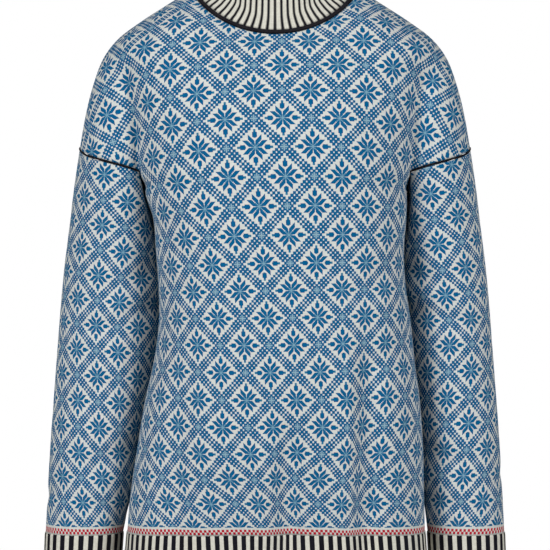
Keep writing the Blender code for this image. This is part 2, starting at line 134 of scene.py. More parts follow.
# The panels' main folds, the same as in the solids: a line that leans from (x, top_z) by lean to
# bottom_z, fading over its ends. A negative depth is a trough.
Fold = namedtuple("Fold", "name panel x top_z bottom_z lean width depth")
FOLDS = [Fold(*row) for row in (
    ("right_drag", "front", 103, -360, -660, 0, 13, -11),
    ("right_swell", "front", 84, -380, -660, -4, 13, 6),
    ("middle_drag", "front", 20, -470, -670, -4, 13, -9),
    ("middle_swell", "front", -12, -480, -670, -2, 14, 6),
    ("left_soft", "front", -104, -400, -670, -14, 18, -5),
    ("left_swell", "front", -76, -430, -670, -10, 18, 3),
    ("back_left", "back", -70, -300, -670, -12, 20, -8),
    ("back_right", "back", 58, -330, -670, 16, 20, -7),
    ("back_middle", "back", -6, -420, -670, 4, 22, -5),
)]

# Softer creases laid over them: each follows a bend through three places (x, z) on its
# panel, is deepest in its middle, and is a ridge where depth is positive.
Crease = namedtuple("Crease", "name panel x0 z0 x1 z1 x2 z2 width depth")
CREASES = [Crease(*row) for row in (
    ("left_cap_drag", "front", -182, -108, -168, -128, -146, -138, 7, -2.5),
    ("left_cap_low", "front", -200, -168, -178, -176, -154, -168, 7, -2.5),
    ("left_chest_pull", "front", -150, -200, -118, -176, -84, -168, 12, -3.0),
    ("left_chest_soft", "front", -150, -226, -112, -214, -70, -214, 13, -2.5),
    ("left_waist_pull", "front", -132, -300, -104, -316, -70, -322, 13, -2.5),
    ("left_waist_low", "front", -126, -352, -104, -352, -72, -366, 12, -2.2),
    ("right_cap_drag", "front", 184, -112, 168, -136, 160, -168, 7, -3.0),
    ("right_cap_swell", "front", 192, -122, 180, -146, 176, -172, 8, 2.2),
    ("right_chest_pull", "front", 152, -196, 124, -178, 92, -172, 12, -3.0),
    ("right_chest_soft", "front", 150, -236, 118, -230, 80, -236, 13, -2.5),
    ("right_waist_pull", "front", 146, -330, 112, -344, 84, -372, 13, -3.0),
    ("right_hip_drag", "front", 154, -420, 124, -428, 104, -470, 12, -3.0),
    ("neck_left_drag", "front", -74, -62, -98, -86, -112, -116, 9, -1.6),
    ("neck_right_drag", "front", 76, -62, 98, -84, 114, -112, 9, -1.6),
    ("back_blade_left", "back", -150, -196, -116, -168, -74, -150, 14, -4.0),
    ("back_blade_right", "back", 152, -188, 118, -172, 70, -166, 14, -3.6),
    ("back_under_left", "back", -148, -236, -110, -240, -60, -226, 14, -3.2),
    ("back_under_right", "back", 150, -248, 108, -244, 66, -250, 14, -3.4),
    ("back_waist_left", "back", -130, -318, -84, -342, -30, -336, 15, -4.0),
    ("back_waist_right", "back", 144, -322, 92, -352, 36, -350, 15, -4.0),
    ("back_waist_low", "back", -124, -376, -60, -398, 24, -392, 15, -3.4),
    ("back_hip_drag", "back", 156, -402, 110, -424, 70, -470, 14, -3.4),
    ("back_nape", "back", -52, -22, 0, -34, 54, -22, 11, -2.0),
)]

# Creases of a sleeve: a trough about the place (turn, z), where turn is in degrees from the outer
# side over the front. slope is how far it drops in mm for each degree, reach its half length.
SleeveCrease = namedtuple("SleeveCrease", "name side turn z slope reach width depth")
SLEEVE_CREASES = [SleeveCrease(*row) for row in (
    ("inner_elbow", 0, 150, -372, 0.35, 62, 13, -4.5),
    ("above_inner_elbow", 0, 140, -330, 0.45, 62, 14, -3.5),
    ("upper_drag", 0, 215, -300, -0.5, 62, 15, -4.0),
    ("wrist_break", 0, 120, -545, 0.4, 62, 13, -3.0),
    ("back_elbow", 0, 235, -410, -0.4, 62, 14, -4.0),
    ("right_front_upper", -1, 76, -286, 0.30, 40, 9, -1.8),
    ("right_front_elbow", -1, 100, -404, -0.28, 44, 10, -2.2),
    ("right_front_low", -1, 64, -476, 0.34, 44, 10, -1.9),
    ("right_outer_wrist", -1, 20, -590, 0.25, 46, 9, -2.0),
    ("right_inner_wrist", -1, 128, -604, -0.20, 46, 8, -2.2),
    ("left_front_upper", 1, 88, -262, 0.34, 42, 9, -2.0),
    ("left_front_elbow", 1, 70, -392, 0.30, 44, 10, -2.2),
    ("left_front_low", 1, 104, -500, -0.30, 42, 10, -2.0),
    ("left_outer_wrist", 1, 30, -574, -0.22, 46, 9, -2.0),
    ("left_inner_wrist", 1, 132, -598, 0.22, 46, 8, -2.2),
)]

# How large a stitch is at a height above the rib (the knit is stretched over the chest), and how
# far the middle star column stands off the centre.
StitchSize = namedtuple("StitchSize", "name height width tall middle")
BODY_STITCHES = [StitchSize(*row) for row in (
    ("rib_seam", 0, 1.18, 1.155, 8.4),
    ("skirt", 60, 1.175, 1.165, 1.0),
    ("low_hip", 110, 1.17, 1.24, -2.2),
    ("hip", 150, 1.165, 1.288, -3.8),
    ("waist", 214, 1.166, 1.288, -6.2),
    ("bust", 300, 1.23, 1.29, -10.2),
    ("underarm", 340, 1.27, 1.335, -12.3),
    ("chest", 410, 1.305, 1.36, -15.8),
    ("collarbone", 480, 1.29, 1.32, -17.8),
    ("shoulder", 560, 1.28, 1.31, -16.0),
    ("neck", 640, 1.27, 1.31, -14.0),
)]
RIGHT_SLEEVE_STITCHES = [StitchSize(*row) for row in (
    ("cuff_seam", 0, 1.0, 1.23, -2),
    ("elbow", 240, 1.05, 1.23, 30),
    ("armhole", 460, 1.25, 1.23, 55),
)]
LEFT_SLEEVE_STITCHES = [StitchSize(*row) for row in (
    ("cuff_seam", 0, 1.06, 1.26, 20),
    ("elbow", 240, 1.15, 1.26, 60),
    ("armhole", 460, 1.3, 1.26, 68),
)]

# Where the front is gathered above and in the hem rib: the knit is squeezed by up to depth / width
# about x, up to high above the rib, and the ribs below slant by sway. All in mm.
Gather = namedtuple("Gather", "name x high width depth sway")
GATHERS = [Gather(*row) for row in (
    ("middle", 4, 120, 19, 7.5, -2.5),
    ("right", 94, 190, 18, 8.0, 2.5),
    ("left_soft", -62, 60, 40, 3.0, 4.0),
    ("left_side", -140, 200, 24, 5.0, -2.0),
)]

# ---------------------------------------------------------------- settings shown in the sidebar


def length_setting(name, about, value):
    return bpy.props.FloatProperty(name=name, description=about, default=value, unit="LENGTH")


def count_setting(name, about, value):
    return bpy.props.IntProperty(name=name, description=about, default=value)


def share_setting(name, about, value):
    return bpy.props.FloatProperty(name=name, description=about, default=value)


def yarn_setting(name, about, value):
    return bpy.props.FloatVectorProperty(name=name, description=about, subtype="COLOR",
                                         default=value)


class PulloverKnit(bpy.types.PropertyGroup):
    stretch: share_setting("Stitch size", "Size of a jacquard stitch against the tables", 1.0)
    repeat: count_setting("Repeat", "Stitches from one star to the next", 48)
    blue: yarn_setting("Blue yarn", "Main pattern colour", (0.0002, 0.088, 0.218))
    ivory: yarn_setting("Ivory yarn", "Ground colour of the jacquard", (0.557, 0.572, 0.543))
    red: yarn_setting("Red yarn", "Small checks above the hem and cuffs", (0.40, 0.004, 0.018))
    rib_ivory: yarn_setting("Rib ivory", "Light yarn of the ribs", (0.57, 0.555, 0.485))
    black: yarn_setting("Black yarn", "Dark yarn of the ribs, cord and piping",
                        (0.006, 0.005, 0.008))


class PulloverShape(bpy.types.PropertyGroup):
    wall: length_setting("Cloth thickness", "Wall of the jacquard cloth", 2.0 * MM)
    rib_wall: length_setting("Rib thickness", "Wall of the rib knit in its grooves", 2.2 * MM)
    rib_rise: length_setting("Rib height", "How far a rib stands above its groove", 1.2 * MM)
    collar_ribs: count_setting("Collar ribs", "Ribs round the collar", 60)
    hem_ribs: count_setting("Hem ribs", "Ribs round the hem", 88)
    cuff_ribs: count_setting("Cuff ribs", "Ribs round each cuff", 24)
    creases: share_setting("Creases", "Strength of the small creases of the panels", 1.0)
    neck_cord: length_setting("Neck cord radius", "Radius of the cord round the neckline",
                              2.9 * MM)
    piping: length_setting("Piping radius", "Radius of the piping round the armholes", 1.1 * MM)


class PulloverStage(bpy.types.PropertyGroup):
    distance: length_setting("Camera distance", "Camera to the garment's middle plane", 2.5)
    view_width: length_setting("View width", "Width of the view at the middle plane", 0.6435)
    centre_z: length_setting("Camera height", "Height of the camera, which looks level", -0.336)
    floor_z: length_setting("Floor height", "Where the wearer would stand", -1.36)


SEAM_GAP = 0.3 * MM          # air between sewn pieces
CORD_EASE = 0.2 * MM         # more air between an edge and the cord beside it
UNDERARM_EASE = 2.0 * MM     # the sleeve stands this far off the side at the underarm
PUSH_DEPTH = 60              # mm in front of the side seam at which a fold has its full depth
LEVEL_REACH = 0.12           # metres above the rib over which the courses turn level
ROOM_LIGHT = 0.08            # of the room, against the white backdrop behind the garment
FLOOR_HALF = 2.4             # metres, half the width of the floor


def knit():
    return bpy.context.scene.pullover_knit


def shape():
    return bpy.context.scene.pullover_shape


# ---------------------------------------------------------------- curves and sections


def through(keys, stations, places):
    """Read a smooth curve through an array of keys, which stand at the given stations."""
    keys, stations = np.asarray(keys, float), np.asarray(stations, float)
    places = np.atleast_1d(places)
    slope = np.empty_like(keys)
    shape_of = (-1,) + (1,) * (keys.ndim - 1)
    slope[1:-1] = (keys[2:] - keys[:-2]) / (stations[2:] - stations[:-2]).reshape(shape_of)
    slope[0] = (keys[1] - keys[0]) / (stations[1] - stations[0])
    slope[-1] = (keys[-1] - keys[-2]) / (stations[-1] - stations[-2])
    i = np.clip(np.searchsorted(stations, places, side="right") - 1, 0, len(stations) - 2)
    span = (stations[i + 1] - stations[i]).reshape(shape_of)
    t = ((places - stations[i]) / (stations[i + 1] - stations[i])).reshape(shape_of)
    return (keys[i] * (2 * t**3 - 3 * t**2 + 1) + slope[i] * span * (t**3 - 2 * t**2 + t)
            + keys[i + 1] * (3 * t**2 - 2 * t**3) + slope[i + 1] * span * (t**3 - t**2))


def running(steps):
    """Running total of steps, from 0."""
    return np.concatenate(([0.0], np.cumsum(steps)))


def run_down(rows):
    """Mean distance from the first row of points to each row."""
    return running(np.linalg.norm(np.diff(rows, axis=0), axis=2).mean(axis=1))


def respace(points, count):
    """Return count + 1 points at equal steps along a polyline."""
    run = running(np.linalg.norm(np.diff(points, axis=0), axis=1))
    wanted = np.linspace(0, run[-1], count + 1)
    return np.stack([np.interp(wanted, run, points[:, k]) for k in range(3)], axis=1)


def whole_turn(count):
    """Angles of equal steps round a ring."""
    return np.arange(count) * 2 * np.pi / count


def fade(value, low, high):
    """Rise smoothly from 0 at low to 1 at high."""
    t = np.clip((value - low) / (high - low), 0, 1)
    return t * t * (3 - 2 * t)


def torso_arc(fold_x, fold_y, depth, square, steps=160):
    """Plan curve from the centre to (fold_x, -fold_y) on a superellipse of that depth."""
    width = fold_x / (1 - (fold_y / depth)**square)**(1 / square)
    turn = np.linspace(0, np.arccos((fold_y / depth)**(square / 2)), steps + 1)
    across = width * np.sin(turn)**(2 / square)
    out = -depth * np.abs(np.cos(turn))**(2 / square)
    return np.stack([across, out, np.zeros(steps + 1)], axis=1)


def arm_arc(fold_x, fold_y, edge_x, half_width, steps=80):
    """Plan curve over the front of the arm, from the crease to the shoulder seam."""
    centre = edge_x - half_width
    start = np.arccos((fold_x - centre) / half_width)
    turn = np.linspace(start, 0, steps + 1)
    return np.stack([centre + half_width * np.cos(turn),
                     -fold_y / np.sin(start) * np.sin(turn), np.zeros(steps + 1)], axis=1)


def neck_ring(row, turns, shift=0.0):
    """Points on a collar ring (mm); turn 0 is centre front and a quarter turn the +X side."""
    front = np.cos(turns)
    depth = np.where(front > 0, row.front_y, row.back_y)
    low = np.where(front > 0, row.front_z, row.back_z)
    height = row.side_z + (low - row.side_z) * np.abs(front)**1.3
    return np.stack([(row.half_width + shift) * np.sin(turns), -(depth + shift) * front, height],
                    axis=1)


def shoulder_line(row, face):
    """One course line on the +X side, front or back (mm, with y outwards)."""
    if face == "front":
        depth, centre_z, fold_y = row.front_y, row.front_z, row.fold_front
    else:
        depth, centre_z, fold_y = row.back_y, row.back_z, row.fold_back
    if row.arm_width:
        torso = torso_arc(row.fold_x, fold_y, depth, row.square)
        arm = arm_arc(row.fold_x, fold_y, row.edge_x, row.arm_width)
    else:
        whole = torso_arc(row.edge_x, 0.0, depth, row.square, 400)
        torso = whole[whole[:, 0] <= row.fold_x]
        arm = whole[len(torso) - 1:]
    torso = respace(torso, TORSO_COLUMNS)
    arm = respace(arm, ARM_COLUMNS)
    torso[:, 2] = centre_z + (row.fold_z - centre_z) * (torso[:, 0] / row.fold_x)**2.2
    arm[:, 2] = np.linspace(row.fold_z, row.edge_z, ARM_COLUMNS + 1)
    return np.concatenate([torso, arm[1:]])


def arm_dent(row, y):
    """How far the arm presses the side of the body in, at depth y (mm)."""
    return row.dent * np.exp(-((y - ARM_Y) / ARM_SPREAD)**2)


def body_arc(row, face, side, cut_y=0, columns=None):
    """One level of the body, from the centre to its side (mm, with y outwards)."""
    depth = row.front_y if face == "front" else row.back_y
    width = row.right_x if side > 0 else row.left_x
    arc = torso_arc(width, cut_y, depth, row.square)
    if columns:
        arc = respace(arc, columns)
    arc[:, 2] = row.z - row.dip * (1 - (arc[:, 0] / width)**2)
    arc[:, 0] -= arm_dent(row, arc[:, 1] if face == "front" else -arc[:, 1])
    return arc


def push_out(points, push):
    """Push places of a panel out, and less so near the side seam (mm, with y outwards)."""
    points[..., 1] -= push * np.minimum(-points[..., 1] / PUSH_DEPTH, 1)


def fold_depth(face, x, z):
    """How far the main folds push a panel out at its places (mm)."""
    total = np.zeros_like(x)
    for fold in FOLDS:
        if fold.panel == face:
            share = (z - fold.top_z) / (fold.bottom_z - fold.top_z)
            strength = fade(share, 0.0, 0.4) * (1 - 0.45 * fade(share, 0.75, 1.0))
            off = (x - fold.x - fold.lean * share) / fold.width
            total += fold.depth * strength * np.exp(-off**2)
    return total


def bend(share, start, middle, end):
    """A parabola from start to end that passes middle halfway."""
    pull = 2 * middle - (start + end) / 2
    return (1 - share)**2 * start + 2 * share * (1 - share) * pull + share**2 * end


def crease_depth(face, x, z):
    """How far the small creases push a panel out at its places (mm)."""
    total = np.zeros_like(x)
    share = np.linspace(0, 1, 25)
    for crease in CREASES:
        if crease.panel != face:
            continue
        path_x = bend(share, crease.x0, crease.x1, crease.x2)
        path_z = bend(share, crease.z0, crease.z1, crease.z2)
        away = np.hypot(x[..., None] - path_x, z[..., None] - path_z)
        nearest = away.argmin(axis=-1)
        reach = np.sin(np.pi * share[nearest])**0.8
        total += crease.depth * reach * np.exp(-(away.min(axis=-1) / crease.width)**2)
    return total * shape().creases


def panel_half(face, side):
    """One side of a panel as two grids (mm): above the armhole with the arm, and below."""
    turns = np.concatenate([np.linspace(0, NECK_SHARE, TORSO_COLUMNS + 1),
                            np.linspace(NECK_SHARE, 1, ARM_COLUMNS + 1)[1:]]) * np.pi / 2
    neck = neck_ring(COLLAR_RINGS[0], turns if face == "front" else np.pi - turns)
    if face == "back":
        neck[:, 1] *= -1
    upper_keys = np.array([neck] + [shoulder_line(row, face) for row in SHOULDER_LINES])
    upper_stations = run_down(upper_keys)
    body_keys = np.array([body_arc(row, face, side, row.cut_y, TORSO_COLUMNS)
                          for row in BODY_LINES])
    torso_keys = np.concatenate([upper_keys[:, :TORSO_COLUMNS + 1], body_keys])
    drops = [upper_stations[-1]]
    joined = torso_keys[len(SHOULDER_LINES):]
    for before, after in zip(joined, joined[1:]):
        drops.append(drops[-1] + before[0, 2] - after[0, 2]
                     + abs(after[-1, 1] - before[-1, 1]) * 0.5)
    stations = np.concatenate([upper_stations, drops[1:]])
    at_armhole, at_gusset, at_underarm = stations[len(SHOULDER_LINES):][:3]
    above = np.linspace(0, at_armhole, SHOULDER_ROWS + 1)
    below = np.concatenate([np.linspace(at_armhole, at_gusset, GUSSET_ROWS + 1)[1:],
                            np.linspace(at_gusset, at_underarm, GUSSET_ROWS + 1)[1:],
                            np.linspace(at_underarm, stations[-1], BODY_ROWS + 1)[1:]])
    upper = through(upper_keys, upper_stations, above)
    upper[:, :TORSO_COLUMNS + 1] = through(torso_keys, stations, above)
    lower = through(torso_keys, stations, below)
    lower[2 * GUSSET_ROWS:, -1, 1] = 0.0
    for grid in (upper, lower):
        grid[..., 0] *= side
        x, z = grid[..., 0], grid[..., 2]
        push_out(grid, fold_depth(face, x, z) + crease_depth(face, x, z))
        if face == "back":
            grid[..., 1] *= -1
    return upper, lower


def draw_back(points, inward, distance):
    """Move edge points into their own panel, to make room for a cord or a seam."""
    way = inward - points
    return points + way / np.linalg.norm(way, axis=-1, keepdims=True) * distance


def cord_room(radius):
    """How far an edge stands off the middle of the cord beside it (metres)."""
    return radius + SEAM_GAP + CORD_EASE


def trim_edges(upper, lower, face):
    """Leave the neck cord, the armhole piping and the seams their room."""
    neck_room = cord_room(shape().neck_cord) / MM
    arm_room = cord_room(shape().piping) / MM
    fold = TORSO_COLUMNS
    upper[0] = draw_back(upper[0], upper[3], neck_room)
    upper[1] = draw_back(upper[1], upper[4], neck_room * 0.5)
    upper[-1, fold + 1:] = draw_back(upper[-1, fold + 1:], upper[-4, fold + 1:], arm_room)
    upper[-2, fold + 1:] = draw_back(upper[-2, fold + 1:], upper[-5, fold + 1:], arm_room * 0.5)
    lower[:2 * GUSSET_ROWS, -1] = draw_back(lower[:2 * GUSSET_ROWS, -1],
                                            lower[3:3 + 2 * GUSSET_ROWS, -3], arm_room)
    upper[-1, fold] = draw_back(upper[-1, fold], (upper[-1, fold - 2] + upper[-4, fold - 1]) / 2,
                                arm_room * 1.3)
    toward = -1 if face == "front" else 1
    upper[:, -1, 1] = toward * SEAM_GAP / MM / 2
    lower[2 * GUSSET_ROWS - 1:, -1, 1] = toward * SEAM_GAP / MM / 2


# ---------------------------------------------------------------- meshes


def add_object(name, data):
    """Put a mesh, curve, light or camera in the scene."""
    item = bpy.data.objects.new(name, data)
    bpy.context.scene.collection.objects.link(item)
    return item


def tidy_mesh(name, mesh):
    """Turn a bmesh into an object with smooth faces."""
    data = bpy.data.meshes.new(name)
    mesh.to_mesh(data)
    mesh.free()
    data.shade_smooth()
    return add_object(name, data)


def lay_flat(piece, cut=()):
    """Lay an open surface flat with as little stretch as it allows (metres). cut is a set of
    vertex pairs along which a tube is opened. It returns each face corner's flat place."""
    data = piece.data
    for edge in data.edges:
        edge.use_seam = tuple(sorted(edge.vertices)) in cut
    layer = data.uv_layers.new(name="flat")
    data.uv_layers.active = layer
    bpy.ops.object.select_all(action="DESELECT")
    piece.select_set(True)
    bpy.context.view_layer.objects.active = piece
    bpy.ops.object.mode_set(mode="EDIT")
    bpy.ops.mesh.select_all(action="SELECT")
    bpy.ops.uv.unwrap(method="ANGLE_BASED", margin=0.0)
    bpy.ops.uv.minimize_stretch(iterations=40)
    bpy.ops.object.mode_set(mode="OBJECT")
    flat = np.empty(len(data.loops) * 2, np.float32)
    data.uv_layers["flat"].data.foreach_get("uv", flat)
    return flat.reshape(-1, 2).astype(float)


def flat_area(data, places):
    """Area of the laid-flat faces over the area of the faces themselves."""
    laid, real = 0.0, 0.0
    for face in data.polygons:
        ring = places[face.loop_start:face.loop_start + face.loop_total]
        x, y = ring[:, 0], ring[:, 1]
        laid += abs(np.dot(x, np.roll(y, -1)) - np.dot(y, np.roll(x, -1))) / 2
        real += face.area
    return laid / real


def straighten(places, origin, along):
    """Turn flat places about origin so that along becomes the +X way."""
    along = along / np.linalg.norm(along)
    turned = places - origin
    return np.stack([turned @ along, turned @ np.array([-along[1], along[0]])], axis=1)


def lay_level(piece, foot, left, right, top, rim, cut=()):
    """Lay a piece flat at its true size (metres): foot is the origin, left to right runs along X,
    top is above, and the lower rim is level. All but piece and cut are vertex numbers."""
    data = piece.data
    flat = lay_flat(piece, cut)
    flat /= np.sqrt(flat_area(data, flat))
    corners = np.empty(len(data.loops), int)
    data.loops.foreach_get("vertex_index", corners)
    where = np.zeros((len(data.vertices), 2))
    where[corners] = flat
    origin, along = where[foot], where[right] - where[left]
    flat = straighten(flat, origin, along)
    if straighten(where, origin, along)[top, 1] < 0:
        flat[:, 1] *= -1
    at_rim = flat[np.isin(corners, rim)]
    at_rim = at_rim[np.argsort(at_rim[:, 0])]
    run = np.interp(flat[:, 0], at_rim[:, 0], at_rim[:, 1])
    flat[:, 1] -= run * np.clip(1 - (flat[:, 1] - run) / LEVEL_REACH, 0, 1)
    return flat


def add_wall(data, thickness, seam_flat=True):
    """Give an open surface its inner side and rim. The inner side keeps the outer one's maps.
    Along seams at y = 0 the rim stays square to the seam."""
    mesh = bmesh.new()
    mesh.from_mesh(data)
    mesh.normal_update()
    layers = [mesh.loops.layers.uv[i] for i in range(len(mesh.loops.layers.uv))]
    faces = list(mesh.faces)
    rims = [(edge.verts[:], edge.link_faces[0]) for edge in mesh.edges if edge.is_boundary]
    inner = {}
    for vert in list(mesh.verts):
        normal = vert.normal.copy()
        if seam_flat and abs(vert.co.y) < SEAM_GAP:
            normal.y = 0
        inner[vert] = mesh.verts.new(vert.co - normal.normalized() * thickness)

    def copy_maps(new, corners):
        for loop, source in zip(new.loops, corners):
            for layer in layers:
                loop[layer].uv = source[layer].uv

    for face in faces:
        corners = list(reversed(face.loops))
        copy_maps(mesh.faces.new([inner[loop.vert] for loop in corners]), corners)
    for (start, end), face in rims:
        order = {loop.vert: loop for loop in face.loops}
        if order[start].link_loop_next.vert != end:
            start, end = end, start
        rim = mesh.faces.new((end, start, inner[start], inner[end]))
        copy_maps(rim, (order[end], order[start], order[start], order[end]))
    mesh.to_mesh(data)
    mesh.free()
    data.shade_smooth()


def finish_piece(piece, material, node):
    """Give a finished piece its material and its place in the frame."""
    piece.data.materials.clear()
    piece.data.materials.append(material)
    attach(piece, "root")
    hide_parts(node)
    return piece


# ---------------------------------------------------------------- panels and sleeves


def gathered(x, height):
    """How many more metres of knit the gathers take in between the centre and places of the front
    (metres)."""
    total = np.zeros_like(x)
    for gather in GATHERS:
        taken = np.tanh((x / MM - gather.x) / gather.width) + np.tanh(gather.x / gather.width)
        strength = 1 - fade(height / MM, 0.25 * gather.high, gather.high)
        total += gather.depth * MM * taken * strength
    return total


def swayed(x):
    """How far the ribs of the front slant to the side on their way down (metres)."""
    return sum(gather.sway * MM * np.exp(-((x / MM - gather.x) / gather.width)**2)
               for gather in GATHERS)


def stitches(across, height, table):
    """Flat places in metres as wales and courses. The cloth is stretched as the table says."""
    rows = np.array([row[1:] for row in table]) * MM
    steps = np.linspace(rows[0, 0], rows[-1, 0], 400)
    tall = np.interp((steps[1:] + steps[:-1]) / 2, rows[:, 0], rows[:, 2])
    count = running(np.diff(steps) / tall)
    courses = np.interp(height, steps, count) + (height - np.clip(height, steps[0], steps[-1])) \
        / rows[0, 2]
    wales = across / np.interp(height, rows[:, 0], rows[:, 1])
    return wales / knit().stretch, courses / knit().stretch


def make_panel(name, face):
    """Front or back, from the shoulder seams to the hem rib."""
    halves = {}
    for side in (-1, 1):
        upper, lower = panel_half(face, side)
        trim_edges(upper, lower, face)
        halves[side] = upper, lower
    grids = []
    for part in (0, 1):
        left, right = halves[-1][part], halves[1][part]
        middle = (left[:, :1] + right[:, :1]) / 2
        grids.append(np.concatenate([left[:, :0:-1], middle, right[:, 1:]], axis=1) * MM)
    upper, lower = grids
    mesh = bmesh.new()
    upper_verts = [[mesh.verts.new(p) for p in row] for row in upper]
    lower_verts = [[mesh.verts.new(p) for p in row] for row in lower]
    armhole = upper_verts[-1][ARM_COLUMNS:-ARM_COLUMNS]
    for rows in (upper_verts, [armhole] + lower_verts):
        for above, below in zip(rows, rows[1:]):
            for c in range(len(above) - 1):
                corners = (above[c], below[c], below[c + 1], above[c + 1])
                mesh.faces.new(corners if face == "front" else corners[::-1])
    mesh.verts.index_update()
    centre_top = upper_verts[0][TORSO_COLUMNS + ARM_COLUMNS].index
    centre_low = lower_verts[-1][TORSO_COLUMNS].index
    hem = [vert.index for vert in lower_verts[-1]]
    piece = tidy_mesh(name, mesh)
    flat = lay_level(piece, centre_low, hem[0], hem[-1], centre_top, hem)
    across, above_hem = flat.T
    middle = star_middle(above_hem, BODY_STITCHES)
    across += gathered(across, above_hem) - middle if face == "front" else middle
    write_maps(piece.data, across, above_hem, BODY_STITCHES)
    add_wall(piece.data, shape().wall)
    return piece


def star_middle(height, table):
    """How far the middle star column stands off the centre at heights above the rib (metres)."""
    heights, middles = zip(*[(row.height * MM, row.middle * MM) for row in table])
    return np.interp(height, heights, middles)


def write_maps(data, across, above_rib, table):
    """Write the flat places as stitches, with the pattern starting a few courses above the rib."""
    data.uv_layers.remove(data.uv_layers["flat"])
    wales, courses = stitches(across, above_rib, table)
    pattern = data.uv_layers.new(name="stitches")
    values = np.stack([wales, courses - BORDER_COURSES], axis=1).astype(np.float32)
    pattern.data.foreach_set("uv", values.ravel())


def armhole_ring(side):
    """The armhole seam as a closed ring (metres): outer top, front, underarm, back."""
    arcs = []
    for face in ("front", "back"):
        upper, lower = panel_half(face, side)
        arcs.append(np.concatenate([upper[-1, :TORSO_COLUMNS - 1:-1],
                                    lower[:2 * GUSSET_ROWS, -1]]) * MM)
    ring = np.concatenate([arcs[0], arcs[1][-2:0:-1]])
    doubled = np.empty((2 * len(ring), 3))
    doubled[::2] = ring
    doubled[1::2] = (ring + np.roll(ring, -1, axis=0)) / 2
    return doubled


def sleeve_middle(row, side):
    """How far out a sleeve ring's middle stands, and its half width (mm)."""
    inner = row.inner_left if side > 0 else row.inner_right
    return (row.outer_x + inner) / 2, (row.outer_x - inner) / 2


def sleeve_ring(row, side, count):
    """One level ring of a sleeve (metres): it starts at the outer side and runs over the front."""
    turn = whole_turn(count)
    depth = np.where(np.sin(turn) > 0, row.front_y, row.back_y)
    centre, half_width = sleeve_middle(row, side)
    return np.stack([side * (centre + half_width * np.cos(turn)),
                     row.line_y - depth * np.sin(turn), np.full(count, row.z)], axis=1) * MM


def sleeve_push(side, turn, z):
    """Creases of a sleeve at its places (metres); turn in degrees, z in metres."""
    total = np.zeros_like(z)
    for crease in SLEEVE_CREASES:
        if crease.side in (0, side):
            off_turn = (turn - crease.turn + 180) % 360 - 180
            steep = 1 if crease.side or side < 0 else 0.8
            line = crease.z + off_turn * crease.slope * steep
            spread = np.exp(-(off_turn / crease.reach)**2)
            total += crease.depth * spread * np.exp(-((z / MM - line) / crease.width)**2)
    return total * MM


def make_sleeve(name, side):
    """A sleeve from the armhole piping to the cuff."""
    count = SLEEVE_SIDES
    seam = armhole_ring(side)
    rings = np.array([sleeve_ring(row, side, count) for row in SLEEVE_RINGS])
    stations = np.array([SLEEVE_RINGS[0].z - row.z for row in SLEEVE_RINGS], float)
    centres = np.array([sleeve_middle(row, side)[0] for row in SLEEVE_RINGS]) * MM
    at = np.linspace(0, stations[-1], SLEEVE_ROWS + 1)
    tube = through(rings, stations, at)
    centre = through(centres, stations, at)[:, None]
    hold = (1 - fade(at, 0, HEAD_BLEND))[:, None]
    turn = whole_turn(count)
    outward = np.stack([tube[..., 0] - side * centre, tube[..., 1],
                        np.zeros(tube.shape[:2])], axis=2)
    outward /= np.linalg.norm(outward, axis=2, keepdims=True)
    tube += (seam - rings[0])[None] * hold[..., None]
    push = sleeve_push(side, np.degrees(turn), tube[..., 2])
    tube += outward * (push * (1 - hold))[..., None]
    inner = np.maximum(0, -np.cos(turn))
    tube[..., 0] += side * UNDERARM_EASE * inner**4 * hold
    tube[0] = draw_back(tube[0], tube[2], cord_room(shape().piping))
    tube[-1, :, 2] = SLEEVE_RINGS[-1].z * MM + SEAM_GAP / 2
    mesh = bmesh.new()
    loops = [[mesh.verts.new(p) for p in ring] for ring in tube]
    mesh.verts.index_update()
    for above, below in zip(loops, loops[1:]):
        for i in range(count):
            j = (i + 1) % count
            corners = (above[i], above[j], below[j], below[i])
            mesh.faces.new(corners if side > 0 else corners[::-1])
    under = [ring[count // 2].index for ring in loops]
    cut = {tuple(sorted(pair)) for pair in zip(under, under[1:])}
    top, foot = loops[0][0].index, loops[-1][0].index
    wrist = [vert.index for vert in loops[-1]]
    piece = tidy_mesh(name, mesh)
    flat = lay_level(piece, foot, wrist[count // 4], wrist[3 * count // 4], top, wrist, cut)
    table = LEFT_SLEEVE_STITCHES if side > 0 else RIGHT_SLEEVE_STITCHES
    across, above_cuff = flat.T
    write_maps(piece.data, across - star_middle(above_cuff, table), above_cuff, table)
    add_wall(piece.data, shape().wall, seam_flat=False)
    return piece


# ---------------------------------------------------------------- shader building


def join(value, slot):
    """Set an input from a wire, a socket, a node's first output or a plain value."""
    if isinstance(value, Wire):
        value = value.socket
    elif isinstance(value, bpy.types.Node):
        value = value.outputs[0]
    if isinstance(value, bpy.types.NodeSocket):
        slot.id_data.links.new(value, slot)
    elif slot.type == "RGBA":
        slot.default_value = (*value, 1.0)
    else:
        slot.default_value = value


def add_node(tree, kind, inputs=None, **settings):
    """Add a node, with its settings and its inputs by name or number."""
    node = tree.nodes.new(kind)
    for name, value in settings.items():
        setattr(node, name, value)
    for label, value in (inputs or {}).items():
        join(value, node.inputs[label])
    return node


